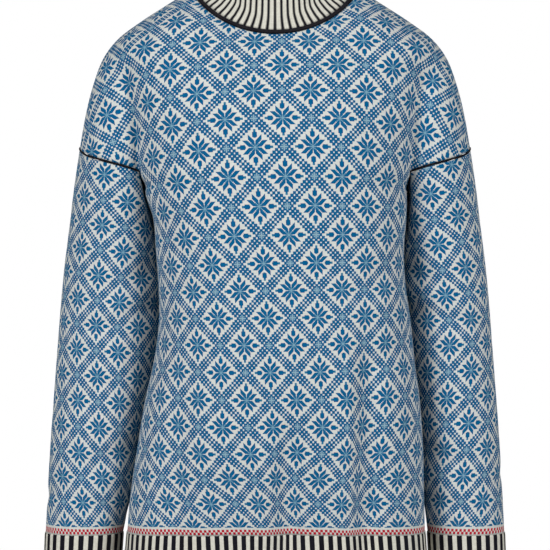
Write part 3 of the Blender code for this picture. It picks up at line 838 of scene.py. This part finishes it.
class Wire:
    """An output of a node, by name or number. Arithmetic on it adds Math nodes to its tree."""

    def __init__(self, node, label=0):
        self.tree, self.socket = node.id_data, node.outputs[label]

    def math(self, operation, *others):
        inputs = dict(enumerate((self,) + others))
        return Wire(add_node(self.tree, "ShaderNodeMath", inputs, operation=operation))

    __add__ = partialmethod(math, "ADD")
    __sub__ = partialmethod(math, "SUBTRACT")
    __mul__ = partialmethod(math, "MULTIPLY")
    __truediv__ = partialmethod(math, "DIVIDE")
    size = partialmethod(math, "ABSOLUTE")
    root = partialmethod(math, "SQRT")
    floor = partialmethod(math, "FLOOR")
    over = partialmethod(math, "GREATER_THAN")       # 1 where this is more, else 0
    under = partialmethod(math, "LESS_THAN")
    most = partialmethod(math, "MAXIMUM")
    least = partialmethod(math, "MINIMUM")
    wrap = partialmethod(math, "FLOORED_MODULO")     # the remainder in [0, period)

    def band(self, low, high):
        """1 between low and high, else 0."""
        return self.over(low) * self.under(high)

    def flip(self):
        """1 less this."""
        return (self * -1.0) + 1.0

    def smooth(self, low, high):
        """Rise smoothly from 0 at low to 1 at high."""
        node = add_node(self.tree, "ShaderNodeMapRange",
                        {"Value": self, "From Min": low, "From Max": high},
                        interpolation_type="SMOOTHSTEP")
        return Wire(node, "Result")


def new_tree(kind, name, inputs, outputs):
    """An empty node tree and its two ends, from (name, socket type, default) rows."""
    tree = bpy.data.node_groups.new(name, kind)
    for in_out, rows in (("INPUT", inputs), ("OUTPUT", outputs)):
        for label, socket_type, default in rows:
            socket = tree.interface.new_socket(label, in_out=in_out, socket_type=socket_type)
            if default is not None:
                socket.default_value = default
    return tree, tree.nodes.new("NodeGroupInput"), tree.nodes.new("NodeGroupOutput")


def shared(name, build):
    """A node tree by its name, built the first time it is asked for."""
    return bpy.data.node_groups.get(name) or build()


def split_place(tree, socket):
    """The wales and courses of a place as two wires."""
    node = add_node(tree, "ShaderNodeSeparateXYZ", {0: socket})
    return Wire(node, "X"), Wire(node, "Y")


SHADER, BUILDER = "ShaderNodeTree", "GeometryNodeTree"
FLOAT, VECTOR, MATERIAL = "NodeSocketFloat", "NodeSocketVector", "NodeSocketMaterial"
GEOMETRY = ("Geometry", "NodeSocketGeometry", None)
EYE_GAMMA = 2.2              # from how bright a yarn looks to the light it gives
FIBRE_SCALE = 900.0          # of the fibres' noise, across a metre
STITCH_DEPTH = 0.5 * MM      # of the bump of a stitch
HALF_CELLS = 11              # checks of the lattice from a star to the crossing beside it
BORDER_COURSES = 8.7         # plain and checked courses between the rib and the star pattern
CHECK_PITCH = 4.6            # stitches from one red check to the next
CHECK_WIDTH = 2.65


def star_chart():
    """Charted in whole stitches: an eight-petal star with four buds in each diamond of a
    checked lattice, and a small star in each crossing. The output is how much of a stitch is
    blue."""
    tree, entry, leave = new_tree(
        SHADER, "Star and lattice chart",
        [("Stitch", VECTOR, None), ("Repeat", FLOAT, 48.0)],
        [("Blue", FLOAT, None)])
    wale, course = split_place(tree, entry.outputs["Stitch"])
    period = Wire(entry, "Repeat")
    half = period * 0.5
    x = ((wale.floor() + 0.5 + wale) * 0.5 + half).wrap(period) - half
    y = ((course.floor() + 0.5 + course) * 0.5 + half).wrap(period) - half
    x, y = x.size(), y.size()
    outside = (x + y).over(half)
    x = (x - outside * half).size()
    y = (y - outside * half).size()
    high, low = x.most(y), x.least(y)
    off_diagonal = high - low

    petals = low.band(0.42, 5.6) * off_diagonal.band(0.42, 4.95)
    bud = high.band(8.4, 12.5) * low.under(2.1)
    bud = bud.most(high.band(7.6, 13.2) * low.under(1.2))
    bud = bud.most(high.band(13.0, 14.8) * low.under(0.8) * 0.8)
    heart = high.under(3.4) * 0.45

    cell = period / (2.0 * HALF_CELLS)
    cell_x = ((x / cell) + 0.5).floor()
    cell_y = ((y / cell) + 0.5).floor()
    ring = cell_x + cell_y
    off_x = (x / cell - cell_x).size()
    off_y = (y / cell - cell_y).size()
    light = ring.wrap(2.0).under(0.5) * off_x.most(off_y).under(0.355)
    lattice = ring.band(HALF_CELLS - 2.5, HALF_CELLS + 2.5)
    checks = lattice * light.flip()

    aside = (high - half).size()
    wide, narrow = aside.most(low), aside.least(low)
    tile = wide.under(3.4)
    rays = narrow.under(0.55)
    specks = narrow.band(1.2, 2.3) * wide.band(1.2, 2.3)
    small_star = rays.most(specks).flip() * 0.65 + 0.35

    figure = petals.most(bud).most(heart).most(checks) * tile.flip() + small_star * tile
    join(figure, leave.inputs["Blue"])
    return tree


def stitch_relief():
    """The V of a knitted stitch: its height, how deep a place lies between the loops (which the
    yarns turn into painted shade), and a little unevenness from one stitch to the next."""
    tree, entry, leave = new_tree(
        SHADER, "Knitted stitch", [("Stitch", VECTOR, None)],
        [("Height", FLOAT, None), ("Shade", FLOAT, None), ("Yarn", FLOAT, None)])
    wale, course = split_place(tree, entry.outputs["Stitch"])
    across = (wale.wrap(1.0) - 0.5).size()
    rise = (course - across * 0.9).wrap(1.0)
    leg = (across - 0.25) * 4.0
    strand = (leg * leg).flip().most(0.0).root()
    loop = ((rise - 0.5) * 2.0)
    plump = (loop * loop * loop * loop).flip().most(0.0)
    height = strand * 0.65 + plump * 0.35
    join(height, leave.inputs["Height"])
    join(height.smooth(0.15, 0.85), leave.inputs["Shade"])
    cell = add_node(tree, "ShaderNodeCombineXYZ", {"X": wale.floor(), "Y": course.floor()})
    noise = add_node(tree, "ShaderNodeTexWhiteNoise", {"Vector": cell}, noise_dimensions="2D")
    join(noise.outputs["Value"], leave.inputs["Yarn"])
    return tree


def wool_haze():
    """Fine loose fibres: a soft mottle that lightens the yarn and lifts its surface a little."""
    tree, entry, leave = new_tree(
        SHADER, "Wool haze", [("Scale", FLOAT, FIBRE_SCALE)],
        [("Mottle", FLOAT, None), ("Fibres", FLOAT, None)])
    place = add_node(tree, "ShaderNodeTexCoord")
    for label, ratio, detail, low, high in (("Mottle", 0.06, 3.0, 0.3, 0.7),
                                            ("Fibres", 1.0, 4.0, 0.35, 0.75)):
        noise = add_node(tree, "ShaderNodeTexNoise", {
            "Vector": place.outputs["Object"], "Detail": detail,
            "Scale": Wire(entry, "Scale") * ratio})
        join(Wire(noise, "Fac").smooth(low, high), leave.inputs[label])
    return tree


def use_group(tree, name, build, **inputs):
    """Place a shader group in a material."""
    return add_node(tree, "ShaderNodeGroup", inputs, node_tree=shared(name, build))


def mix_colour(tree, factor, first, second):
    """Mix two colours, each a socket or a plain colour, by a wire or a number."""
    node = add_node(tree, "ShaderNodeMix", {0: factor, 6: first, 7: second}, data_type="RGBA")
    return node.outputs[2]


def mix_yarns(tree, share, first, second):
    """Mix two yarns by the eye: evenly in how bright they look, not in how much light they give."""
    shown = [tuple(value**(1 / EYE_GAMMA) for value in colour) for colour in (first, second)]
    mixed = mix_colour(tree, share, *shown)
    return add_node(tree, "ShaderNodeGamma", {"Color": mixed, "Gamma": EYE_GAMMA})


def new_material(name, roughness, sheen, sheen_tint):
    """A matte yarn: the numbers that are the same all over are set on the shader itself."""
    material = bpy.data.materials.new(name)
    material.use_nodes = True
    tree = material.node_tree
    shader = tree.nodes["Principled BSDF"]
    for label, value in (("Roughness", roughness), ("Specular IOR Level", 0.03),
                         ("Sheen Weight", sheen), ("Sheen Roughness", 0.45),
                         ("Sheen Tint", sheen_tint)):
        join(value, shader.inputs[label])
    return material, tree, shader


def bump(tree, shader, height, strength, distance):
    node = add_node(tree, "ShaderNodeBump",
                    {"Strength": strength, "Distance": distance, "Height": height})
    join(node.outputs["Normal"], shader.inputs["Normal"])


def uv_socket(tree, name):
    return add_node(tree, "ShaderNodeUVMap", uv_map=name).outputs["UV"]


def yarn_finish(tree, shader, colour, relief, fuzz, strength):
    """Paint shade into a yarn colour between the loops of its stitches, vary it by stitch and
    fibre, and wire it and the stitches' bump to the shader.
    """
    haze = use_group(tree, "Wool haze", wool_haze, Scale=FIBRE_SCALE)
    fibres = Wire(haze, "Fibres")
    pale = Wire(haze, "Mottle") * 0.004 + fibres * fuzz
    # painted shade: the colour turns towards a deep blue where a place lies low between the loops
    colour = mix_colour(tree, Wire(relief, "Shade").flip() * 0.30, colour, (0.004, 0.016, 0.04))
    colour = mix_colour(tree, Wire(relief, "Yarn") * 0.10, colour, (0.0, 0.0, 0.0))
    colour = mix_colour(tree, pale, colour, (0.5, 0.6, 0.68))
    join(colour, shader.inputs["Base Color"])
    bump(tree, shader, Wire(relief, "Height") + fibres * 0.25, strength, STITCH_DEPTH)


def jacquard_material():
    """Blue stars on ivory, with two rows of small red checks by the rib."""
    yarns = knit()
    material, tree, shader = new_material("Jacquard knit", 0.95, 0.02, (0.3, 0.7, 1.0))
    place = uv_socket(tree, "stitches")
    chart = use_group(tree, "Star and lattice chart", star_chart,
                      Stitch=place, Repeat=float(yarns.repeat))
    relief = use_group(tree, "Knitted stitch", stitch_relief, Stitch=place)
    wale, course = split_place(tree, place)
    border = course.under(0.0)
    blue = Wire(chart, "Blue") * border.flip()
    lower = course.band(-7.2, -4.6) * wale.wrap(CHECK_PITCH).under(CHECK_WIDTH)
    upper = course.band(-4.6, -2.0) * (wale + CHECK_PITCH / 2).wrap(CHECK_PITCH).under(CHECK_WIDTH)
    red = lower + upper
    colour = mix_yarns(tree, blue, yarns.ivory, yarns.blue)
    colour = mix_colour(tree, red, colour, tuple(yarns.red))
    yarn_finish(tree, shader, colour, relief, fuzz=0.006, strength=0.55)
    return material


def rib_material(name, dark_share, soft, wales):
    """Rib knit: the map runs one unit a rib, from groove to groove. dark_share of it, about the
    groove, is dark, and the dark fades out over soft at each side. On the collar this dark is the
    black yarn widened by painted shade in the groove and on its flanks; on the hem it is the black
    stripe with a slight fade. wales is how many columns of stitches a rib has."""
    yarns = knit()
    material, tree, shader = new_material(name, 0.95, 0.03, (0.9, 0.9, 0.9))
    place = uv_socket(tree, "ribs")
    around, along = split_place(tree, place)
    across = around.wrap(1.0)
    from_groove = across.least(across.flip())
    # painted shade: the fade of the dark about the groove into the ivory stands in for shade on the
    # groove's flanks, wide on the collar
    dark = from_groove.smooth((dark_share - soft) / 2, (dark_share + soft) / 2).flip()
    stitch = add_node(tree, "ShaderNodeCombineXYZ", {"X": around * float(wales), "Y": along})
    relief = use_group(tree, "Knitted stitch", stitch_relief, Stitch=stitch)
    colour = mix_colour(tree, dark, tuple(yarns.rib_ivory), tuple(yarns.black))
    yarn_finish(tree, shader, colour, relief, fuzz=0.008, strength=0.6)
    return material


def cord_material():
    yarns = knit()
    material, tree, shader = new_material("Black cord yarn", 0.9, 0.03, (0.7, 0.7, 0.75))
    haze = use_group(tree, "Wool haze", wool_haze, Scale=1400.0)
    fibres = Wire(haze, "Fibres")
    mottle = Wire(haze, "Mottle")
    colour = mix_colour(tree, fibres * 0.02 + mottle * 0.01, tuple(yarns.black), (0.5, 0.5, 0.5))
    join(colour, shader.inputs["Base Color"])
    bump(tree, shader, fibres, 0.5, 0.3 * MM)
    return material


# ---------------------------------------------------------------- geometry node trees


def close_tree(tree, entry, leave, geometry):
    """End a tree in Realize Instances and Set Material."""
    real = add_node(tree, "GeometryNodeRealizeInstances", {0: geometry})
    paint = add_node(tree, "GeometryNodeSetMaterial",
                     {"Geometry": real, "Material": entry.outputs["Material"]})
    join(paint, leave.inputs[0])
    return tree


def run_tree(piece, tree, **values):
    """Apply a geometry tree to a piece as a plain mesh; values are set by socket identifier."""
    modifier = piece.modifiers.new("build", "NODES")
    modifier.node_group = tree
    for item in tree.interface.items_tree:
        if item.item_type == "SOCKET" and item.in_out == "INPUT" and item.name in values:
            modifier[item.identifier] = values[item.name]
    depsgraph = bpy.context.evaluated_depsgraph_get()
    data = bpy.data.meshes.new_from_object(piece.evaluated_get(depsgraph),
                                           preserve_all_data_layers=True, depsgraph=depsgraph)
    piece.modifiers.clear()
    name = piece.name
    if piece.type == "MESH":
        piece.data = data
        return piece
    bpy.data.objects.remove(piece, do_unlink=True)
    return add_object(name, data)


def rib_tree():
    """Raise ribs on a plain tube. The attribute rib runs one unit a rib, and outer is 1 on the
    outer side."""
    tree, entry, leave = new_tree(
        BUILDER, "Raised ribs",
        [GEOMETRY, ("Rise", FLOAT, 0.0012), ("Groove", FLOAT, 0.5), ("Wale dip", FLOAT, 0.0),
         ("Material", MATERIAL, None)], [GEOMETRY])
    rib, outer = [Wire(add_node(tree, "GeometryNodeInputNamedAttribute", {"Name": label},
                                data_type="FLOAT"), "Attribute") for label in ("rib", "outer")]
    across = rib.wrap(1.0)
    from_groove = across.least(across.flip())
    groove = Wire(entry, "Groove")
    climb = ((from_groove / groove) * 2.0).least(1.0)
    round_top = (climb.flip() * climb.flip()).flip().most(0.0).root()
    split = ((across - 0.5).size() * 6.0).least(1.0).flip()
    dip = split * split * Wire(entry, "Wale dip")
    lift = (round_top - dip) * outer * Wire(entry, "Rise")
    normal = add_node(tree, "GeometryNodeInputNormal")
    offset = add_node(tree, "ShaderNodeVectorMath", {0: normal, "Scale": lift}, operation="SCALE")
    move = add_node(tree, "GeometryNodeSetPosition",
                    {"Geometry": entry.outputs["Geometry"], "Offset": offset})
    return close_tree(tree, entry, leave, move)


def cord_tree():
    """A crocheted cord: a core along a curve, with a plump loop at each point of it."""
    tree, entry, leave = new_tree(
        BUILDER, "Crocheted cord",
        [GEOMETRY, ("Radius", FLOAT, 0.0018), ("Pitch", FLOAT, 0.004),
         ("Loop length", FLOAT, 0.0028), ("Material", MATERIAL, None)], [GEOMETRY])
    line, pitch = entry.outputs["Geometry"], entry.outputs["Pitch"]
    radius = Wire(entry, "Radius")
    profile = add_node(tree, "GeometryNodeCurvePrimitiveCircle",
                       {"Resolution": 10, "Radius": radius * 0.74})
    core = add_node(tree, "GeometryNodeCurveToMesh", {"Curve": line, "Profile Curve": profile})
    spaced = add_node(tree, "GeometryNodeResampleCurve", {"Curve": line, "Length": pitch},
                      mode="LENGTH")
    loop = add_node(tree, "GeometryNodeMeshUVSphere", {"Segments": 10, "Rings": 7, "Radius": 1.0})
    tangent = add_node(tree, "GeometryNodeInputTangent")
    turn = add_node(tree, "FunctionNodeAlignRotationToVector", {"Vector": tangent}, axis="Z")
    tilt = add_node(tree, "FunctionNodeRotateRotation",
                    {"Rotation": turn, "Rotate By": (0.0, 0.5, 0.0)}, rotation_space="LOCAL")
    plump = radius * 0.82
    size = add_node(tree, "ShaderNodeCombineXYZ",
                    {"X": plump, "Y": plump, "Z": Wire(entry, "Loop length") * 0.5})
    scatter = add_node(tree, "GeometryNodeInstanceOnPoints", {
        "Points": spaced, "Instance": loop, "Rotation": tilt, "Scale": size})
    both = add_node(tree, "GeometryNodeJoinGeometry", {0: scatter})
    join(core, both.inputs[0])
    smooth = add_node(tree, "GeometryNodeSetShadeSmooth", {"Geometry": both})
    return close_tree(tree, entry, leave, smooth)


# ---------------------------------------------------------------- ribs and cords

RIB_POINTS = 10              # points across a rib
RIB_STEP = 2.4 * MM          # between rows of points along a rib
RIB_COURSES = 34             # courses of the hem rib and of each cuff
COLLAR_COURSES = 60
CUFF_POINTS = 480            # points round a cuff's end rings
COLLAR_POINTS = 720
NECK_POINTS = 224
COLLAR_DARK_AND_SHADE = 0.42           # share of a collar rib about its groove that is dark: the black yarn widened by painted shade in the groove
STRIPE_DARK = 0.54


def ribbed_tube(name, rings, ribs, courses, material, groove=0.9, wale_dip=0.0, gather=False):
    """A tube through the rings (metres) with raised ribs over a plain inside. groove is the share
    of a rib that slopes, and wale_dip how deep the line between its two wales lies. With gather,
    the ribs of its front crowd and slant where the front is gathered."""
    count = ribs * RIB_POINTS
    steps = np.array([respace(np.concatenate([ring, ring[:1]]), count)[:-1] for ring in rings])
    stations = run_down(steps)
    rows = int(round(stations[-1] / RIB_STEP))
    tube = through(steps, stations, np.linspace(0, stations[-1], rows + 1))
    ahead = np.roll(tube, -1, axis=1) - np.roll(tube, 1, axis=1)
    outward = np.cross(ahead, np.array([0.0, 0.0, 1.0]))
    outward /= np.linalg.norm(outward, axis=2, keepdims=True)
    centre = tube.mean(axis=1, keepdims=True)
    outward *= np.sign((outward * (tube - centre)).sum(axis=2, keepdims=True))
    inner = tube - outward * shape().rib_wall
    mesh = bmesh.new()
    rib = mesh.verts.layers.float.new("rib")
    outer_mark = mesh.verts.layers.float.new("outer")
    layer = mesh.loops.layers.uv.new("ribs")
    pitch = np.linalg.norm(np.roll(tube[0], -1, axis=0) - tube[0], axis=1).mean() * RIB_POINTS
    place = np.tile(np.arange(count) / RIB_POINTS, (rows + 1, 1))
    if gather:
        x = tube[..., 0]
        down = np.linspace(0, 1, rows + 1)[:, None]
        shift = gathered(x, np.zeros_like(x)) - swayed(x) * down
        place += shift * (tube[..., 1] < 0) * fade(-tube[..., 1], 0.0, 0.04) / pitch
    high = np.linspace(0, courses, rows + 1)

    def add_shell(grid, mark):
        shell = [[mesh.verts.new(p) for p in row] for row in grid]
        for line, turns in zip(shell, place):
            for vert, turn in zip(line, turns):
                vert[rib], vert[outer_mark] = turn, mark
        return shell

    def add_face(corners):
        face = mesh.faces.new([corner[0] for corner in corners])
        for loop, corner in zip(face.loops, corners):
            loop[layer].uv = corner[1]

    def corner(shell, k, i):
        """A point of a shell with its map place; i may run one past the end of the ring."""
        turns = ribs if i == count else 0
        return shell[k][i % count], (place[k, i % count] + turns, -high[k])

    outer, inside = add_shell(tube, 1.0), add_shell(inner, 0.0)
    for k in range(rows):
        for i in range(count):
            for shell, near, far in ((outer, i, i + 1), (inside, i + 1, i)):
                add_face([corner(shell, k, near), corner(shell, k, far),
                          corner(shell, k + 1, far), corner(shell, k + 1, near)])
    for k, flip in ((0, 1), (rows, -1)):
        for i in range(count):
            rim = [corner(inside, k, i), corner(inside, k, i + 1),
                   corner(outer, k, i + 1), corner(outer, k, i)]
            add_face(rim[::flip])
    bmesh.ops.recalc_face_normals(mesh, faces=mesh.faces)
    piece = tidy_mesh(name, mesh)
    piece = run_tree(piece, shared("Raised ribs", rib_tree), **{
        "Rise": shape().rib_rise, "Groove": groove, "Wale dip": wale_dip, "Material": material})
    piece.data.shade_smooth()
    return piece


def collar_rings():
    """Rings of the collar from just above the neck cord to its plain top (metres)."""
    rings = [neck_ring(row, whole_turn(COLLAR_POINTS)) * MM for row in COLLAR_RINGS]
    rings[0] = draw_back(rings[0], rings[1], cord_room(shape().neck_cord))
    return rings


def body_ring(row):
    """The whole level ring of the body (metres), from centre front over +X."""
    arcs = {}
    for face, toward in (("front", 1), ("back", -1)):
        for side in (-1, 1):
            arc = body_arc(row, face, side)
            arc[:, 0] *= side
            push_out(arc, fold_depth(face, arc[:, 0], np.full(len(arc), row.z)))
            arc[:, 1] *= toward
            arcs[face, side] = arc * MM
    return np.concatenate([arcs["front", 1], arcs["back", 1][-2::-1],
                           arcs["back", -1][1:], arcs["front", -1][-2:0:-1]])


def make_cord(name, ring, radius, material, pitch, loop_length):
    """A closed crocheted cord along a ring of points."""
    curve = bpy.data.curves.new(name, "CURVE")
    curve.dimensions = "3D"
    spline = curve.splines.new("POLY")
    spline.points.add(len(ring) - 1)
    for point, place in zip(spline.points, ring):
        point.co = (*place, 1)
    spline.use_cyclic_u = True
    return run_tree(add_object(name, curve), shared("Crocheted cord", cord_tree), **{
        "Radius": radius, "Pitch": pitch, "Loop length": loop_length, "Material": material})


# ---------------------------------------------------------------- operators


def materials():
    """The pullover's four finishes, made once."""
    makers = {
        "Jacquard knit": jacquard_material,
        # the collar's widened dark share and its wide fade are painted shade in and beside its
        # grooves
        "Collar rib": lambda: rib_material("Collar rib", COLLAR_DARK_AND_SHADE, soft=0.24, wales=2),
        "Striped rib": lambda: rib_material("Striped rib", STRIPE_DARK, soft=0.06, wales=4),
        "Black cord yarn": cord_material,
    }
    return {name: bpy.data.materials.get(name) or make() for name, make in makers.items()}


class PULLOVER_OT_panels(bpy.types.Operator):
    """Make the jacquard front and back"""
    bl_idname = "pullover.panels"
    bl_label = "Front and back"

    def execute(self, context):
        knit_finish = materials()["Jacquard knit"]
        for face in ("front", "back"):
            piece = make_panel(f"{face}_panel", face)
            finish_piece(piece, knit_finish, face)
        return {"FINISHED"}


class PULLOVER_OT_sleeves(bpy.types.Operator):
    """Make both jacquard sleeves"""
    bl_idname = "pullover.sleeves"
    bl_label = "Sleeves"

    def execute(self, context):
        knit_finish = materials()["Jacquard knit"]
        for name, side in (("right", -1), ("left", 1)):
            piece = make_sleeve(f"{name}_sleeve", side)
            finish_piece(piece, knit_finish, f"sleeve_{name}")
        return {"FINISHED"}


class PULLOVER_OT_collar(bpy.types.Operator):
    """Make the ribbed mock neck"""
    bl_idname = "pullover.collar"
    bl_label = "Collar"

    def execute(self, context):
        finish = materials()["Collar rib"]
        piece = ribbed_tube("ribbed_collar", collar_rings(), shape().collar_ribs, COLLAR_COURSES,
                            finish, groove=0.34, wale_dip=0.22)
        finish_piece(piece, finish, "collar")
        return {"FINISHED"}


class PULLOVER_OT_hem_and_cuffs(bpy.types.Operator):
    """Make the striped rib of the hem and cuffs"""
    bl_idname = "pullover.hem_and_cuffs"
    bl_label = "Hem and cuffs"

    def execute(self, context):
        finish = materials()["Striped rib"]
        top = body_ring(BODY_LINES[-1])
        top[:, 2] -= SEAM_GAP
        hem = ribbed_tube("hem_ribbing", [top, body_ring(RIB_END)], shape().hem_ribs,
                          RIB_COURSES, finish, gather=True)
        finish_piece(hem, finish, "hem_rib")
        for name, side in (("right", -1), ("left", 1)):
            top = sleeve_ring(SLEEVE_RINGS[-1], side, CUFF_POINTS)
            top[:, 2] -= SEAM_GAP / 2
            foot = sleeve_ring(CUFF_END, side, CUFF_POINTS)
            cuff = ribbed_tube(f"{name}_cuff", [top, foot], shape().cuff_ribs, RIB_COURSES,
                               finish)
            finish_piece(cuff, finish, f"cuff_{name}")
        return {"FINISHED"}


class PULLOVER_OT_cords(bpy.types.Operator):
    """Make the neck cord and the armhole piping"""
    bl_idname = "pullover.cords"
    bl_label = "Neck cord and piping"

    def execute(self, context):
        finish = materials()["Black cord yarn"]
        neckline = neck_ring(COLLAR_RINGS[0], whole_turn(NECK_POINTS)) * MM
        piece = make_cord("neckline_cord", neckline, shape().neck_cord, finish,
                          pitch=4.4 * MM, loop_length=5.2 * MM)
        finish_piece(piece, finish, "neck_cord")
        for name, side in (("right", -1), ("left", 1)):
            piece = make_cord(f"{name}_piping", armhole_ring(side), shape().piping, finish,
                              pitch=2.2 * MM, loop_length=2.8 * MM)
            finish_piece(piece, finish, f"armhole_piping_{name}")
        return {"FINISHED"}


class PULLOVER_OT_stage(bpy.types.Operator):
    """Make the pale floor, the soft lights and the camera"""
    bl_idname = "pullover.stage"
    bl_label = "Stage"

    def execute(self, context):
        stage = context.scene.pullover_stage
        context.scene.view_settings.view_transform = "Standard"
        make_floor(stage)
        make_lights(stage)
        make_camera(stage)
        return {"FINISHED"}


def make_floor(stage):
    """A plain pale floor."""
    data = bpy.data.meshes.new("floor")
    corners = [(x * FLOOR_HALF, y * FLOOR_HALF, stage.floor_z)
               for x, y in ((-1, -1), (1, -1), (1, 1), (-1, 1))]
    data.from_pydata(corners, [], [(0, 1, 2, 3)])
    material = bpy.data.materials.new("Pale floor")
    material.use_nodes = True
    shader = material.node_tree.nodes["Principled BSDF"]
    join((0.86, 0.86, 0.86), shader.inputs["Base Color"])
    join(0.9, shader.inputs["Roughness"])
    data.materials.append(material)
    floor = add_object("floor", data)


def make_lights(stage):
    """A bright white backdrop in a dim room, and a large soft light at either side in front."""
    world = bpy.data.worlds.new("White room")
    bpy.context.scene.world = world
    world.use_nodes = True
    tree = world.node_tree
    background = tree.nodes["Background"]
    place = tree.nodes.new("ShaderNodeTexCoord")
    behind = split_place(tree, place.outputs["Generated"])[1]
    backdrop = behind.smooth(0.86, 0.94)
    join((1.0, 1.0, 1.0), background.inputs["Color"])
    join(backdrop * (1.0 - ROOM_LIGHT) + ROOM_LIGHT, background.inputs["Strength"])
    for name, place, power in (("Left light", (-2.0, -2.3, 0.9), 88.0),
                               ("Right light", (2.0, -2.3, 0.9), 77.0)):
        data = bpy.data.lights.new(name, "AREA")
        data.energy = power
        data.size = 1.0
        light = add_object(name, data)
        light.location = place
        aim = Vector((0, 0, stage.centre_z)) - light.location
        light.rotation_euler = aim.to_track_quat("-Z", "Y").to_euler()


def make_camera(stage):
    """A level camera in front of the garment."""
    data = bpy.data.cameras.new("Camera")
    data.sensor_width = 36.0
    data.lens = data.sensor_width * stage.distance / stage.view_width
    camera = add_object("Camera", data)
    camera.location = (0, -stage.distance, stage.centre_z)
    camera.rotation_euler = (np.pi / 2, 0, 0)
    bpy.context.scene.camera = camera


class PULLOVER_PT_main(bpy.types.Panel):
    bl_label = "Jacquard pullover"
    bl_idname = "PULLOVER_PT_main"
    bl_space_type = "VIEW_3D"
    bl_region_type = "UI"
    bl_category = "Pullover"

    def draw(self, context):
        layout = self.layout
        for group in SETTINGS:
            settings = getattr(context.scene, group)
            column = layout.column(align=True)
            for name in settings.bl_rna.properties.keys():
                if name not in ("rna_type", "name"):
                    column.prop(settings, name)
        for operator in OPERATORS:
            layout.operator(operator.bl_idname)


SETTINGS = {"pullover_knit": PulloverKnit, "pullover_shape": PulloverShape,
            "pullover_stage": PulloverStage}
OPERATORS = (PULLOVER_OT_panels, PULLOVER_OT_sleeves, PULLOVER_OT_collar,
             PULLOVER_OT_hem_and_cuffs, PULLOVER_OT_cords, PULLOVER_OT_stage)


CLASSES = (*SETTINGS.values(), *OPERATORS, PULLOVER_PT_main)


def register():
    for item in CLASSES:
        bpy.utils.register_class(item)
    for name, group in SETTINGS.items():
        setattr(bpy.types.Scene, name, bpy.props.PointerProperty(type=group))


def unregister():
    for name in SETTINGS:
        delattr(bpy.types.Scene, name)
    for item in reversed(CLASSES):
        bpy.utils.unregister_class(item)


def main():
    register()
    bpy.ops.pullover.panels()
    bpy.ops.pullover.sleeves()
    bpy.ops.pullover.collar()
    bpy.ops.pullover.hem_and_cuffs()
    bpy.ops.pullover.cords()
    bpy.ops.pullover.stage()


if __name__ == "__main__":
    main()
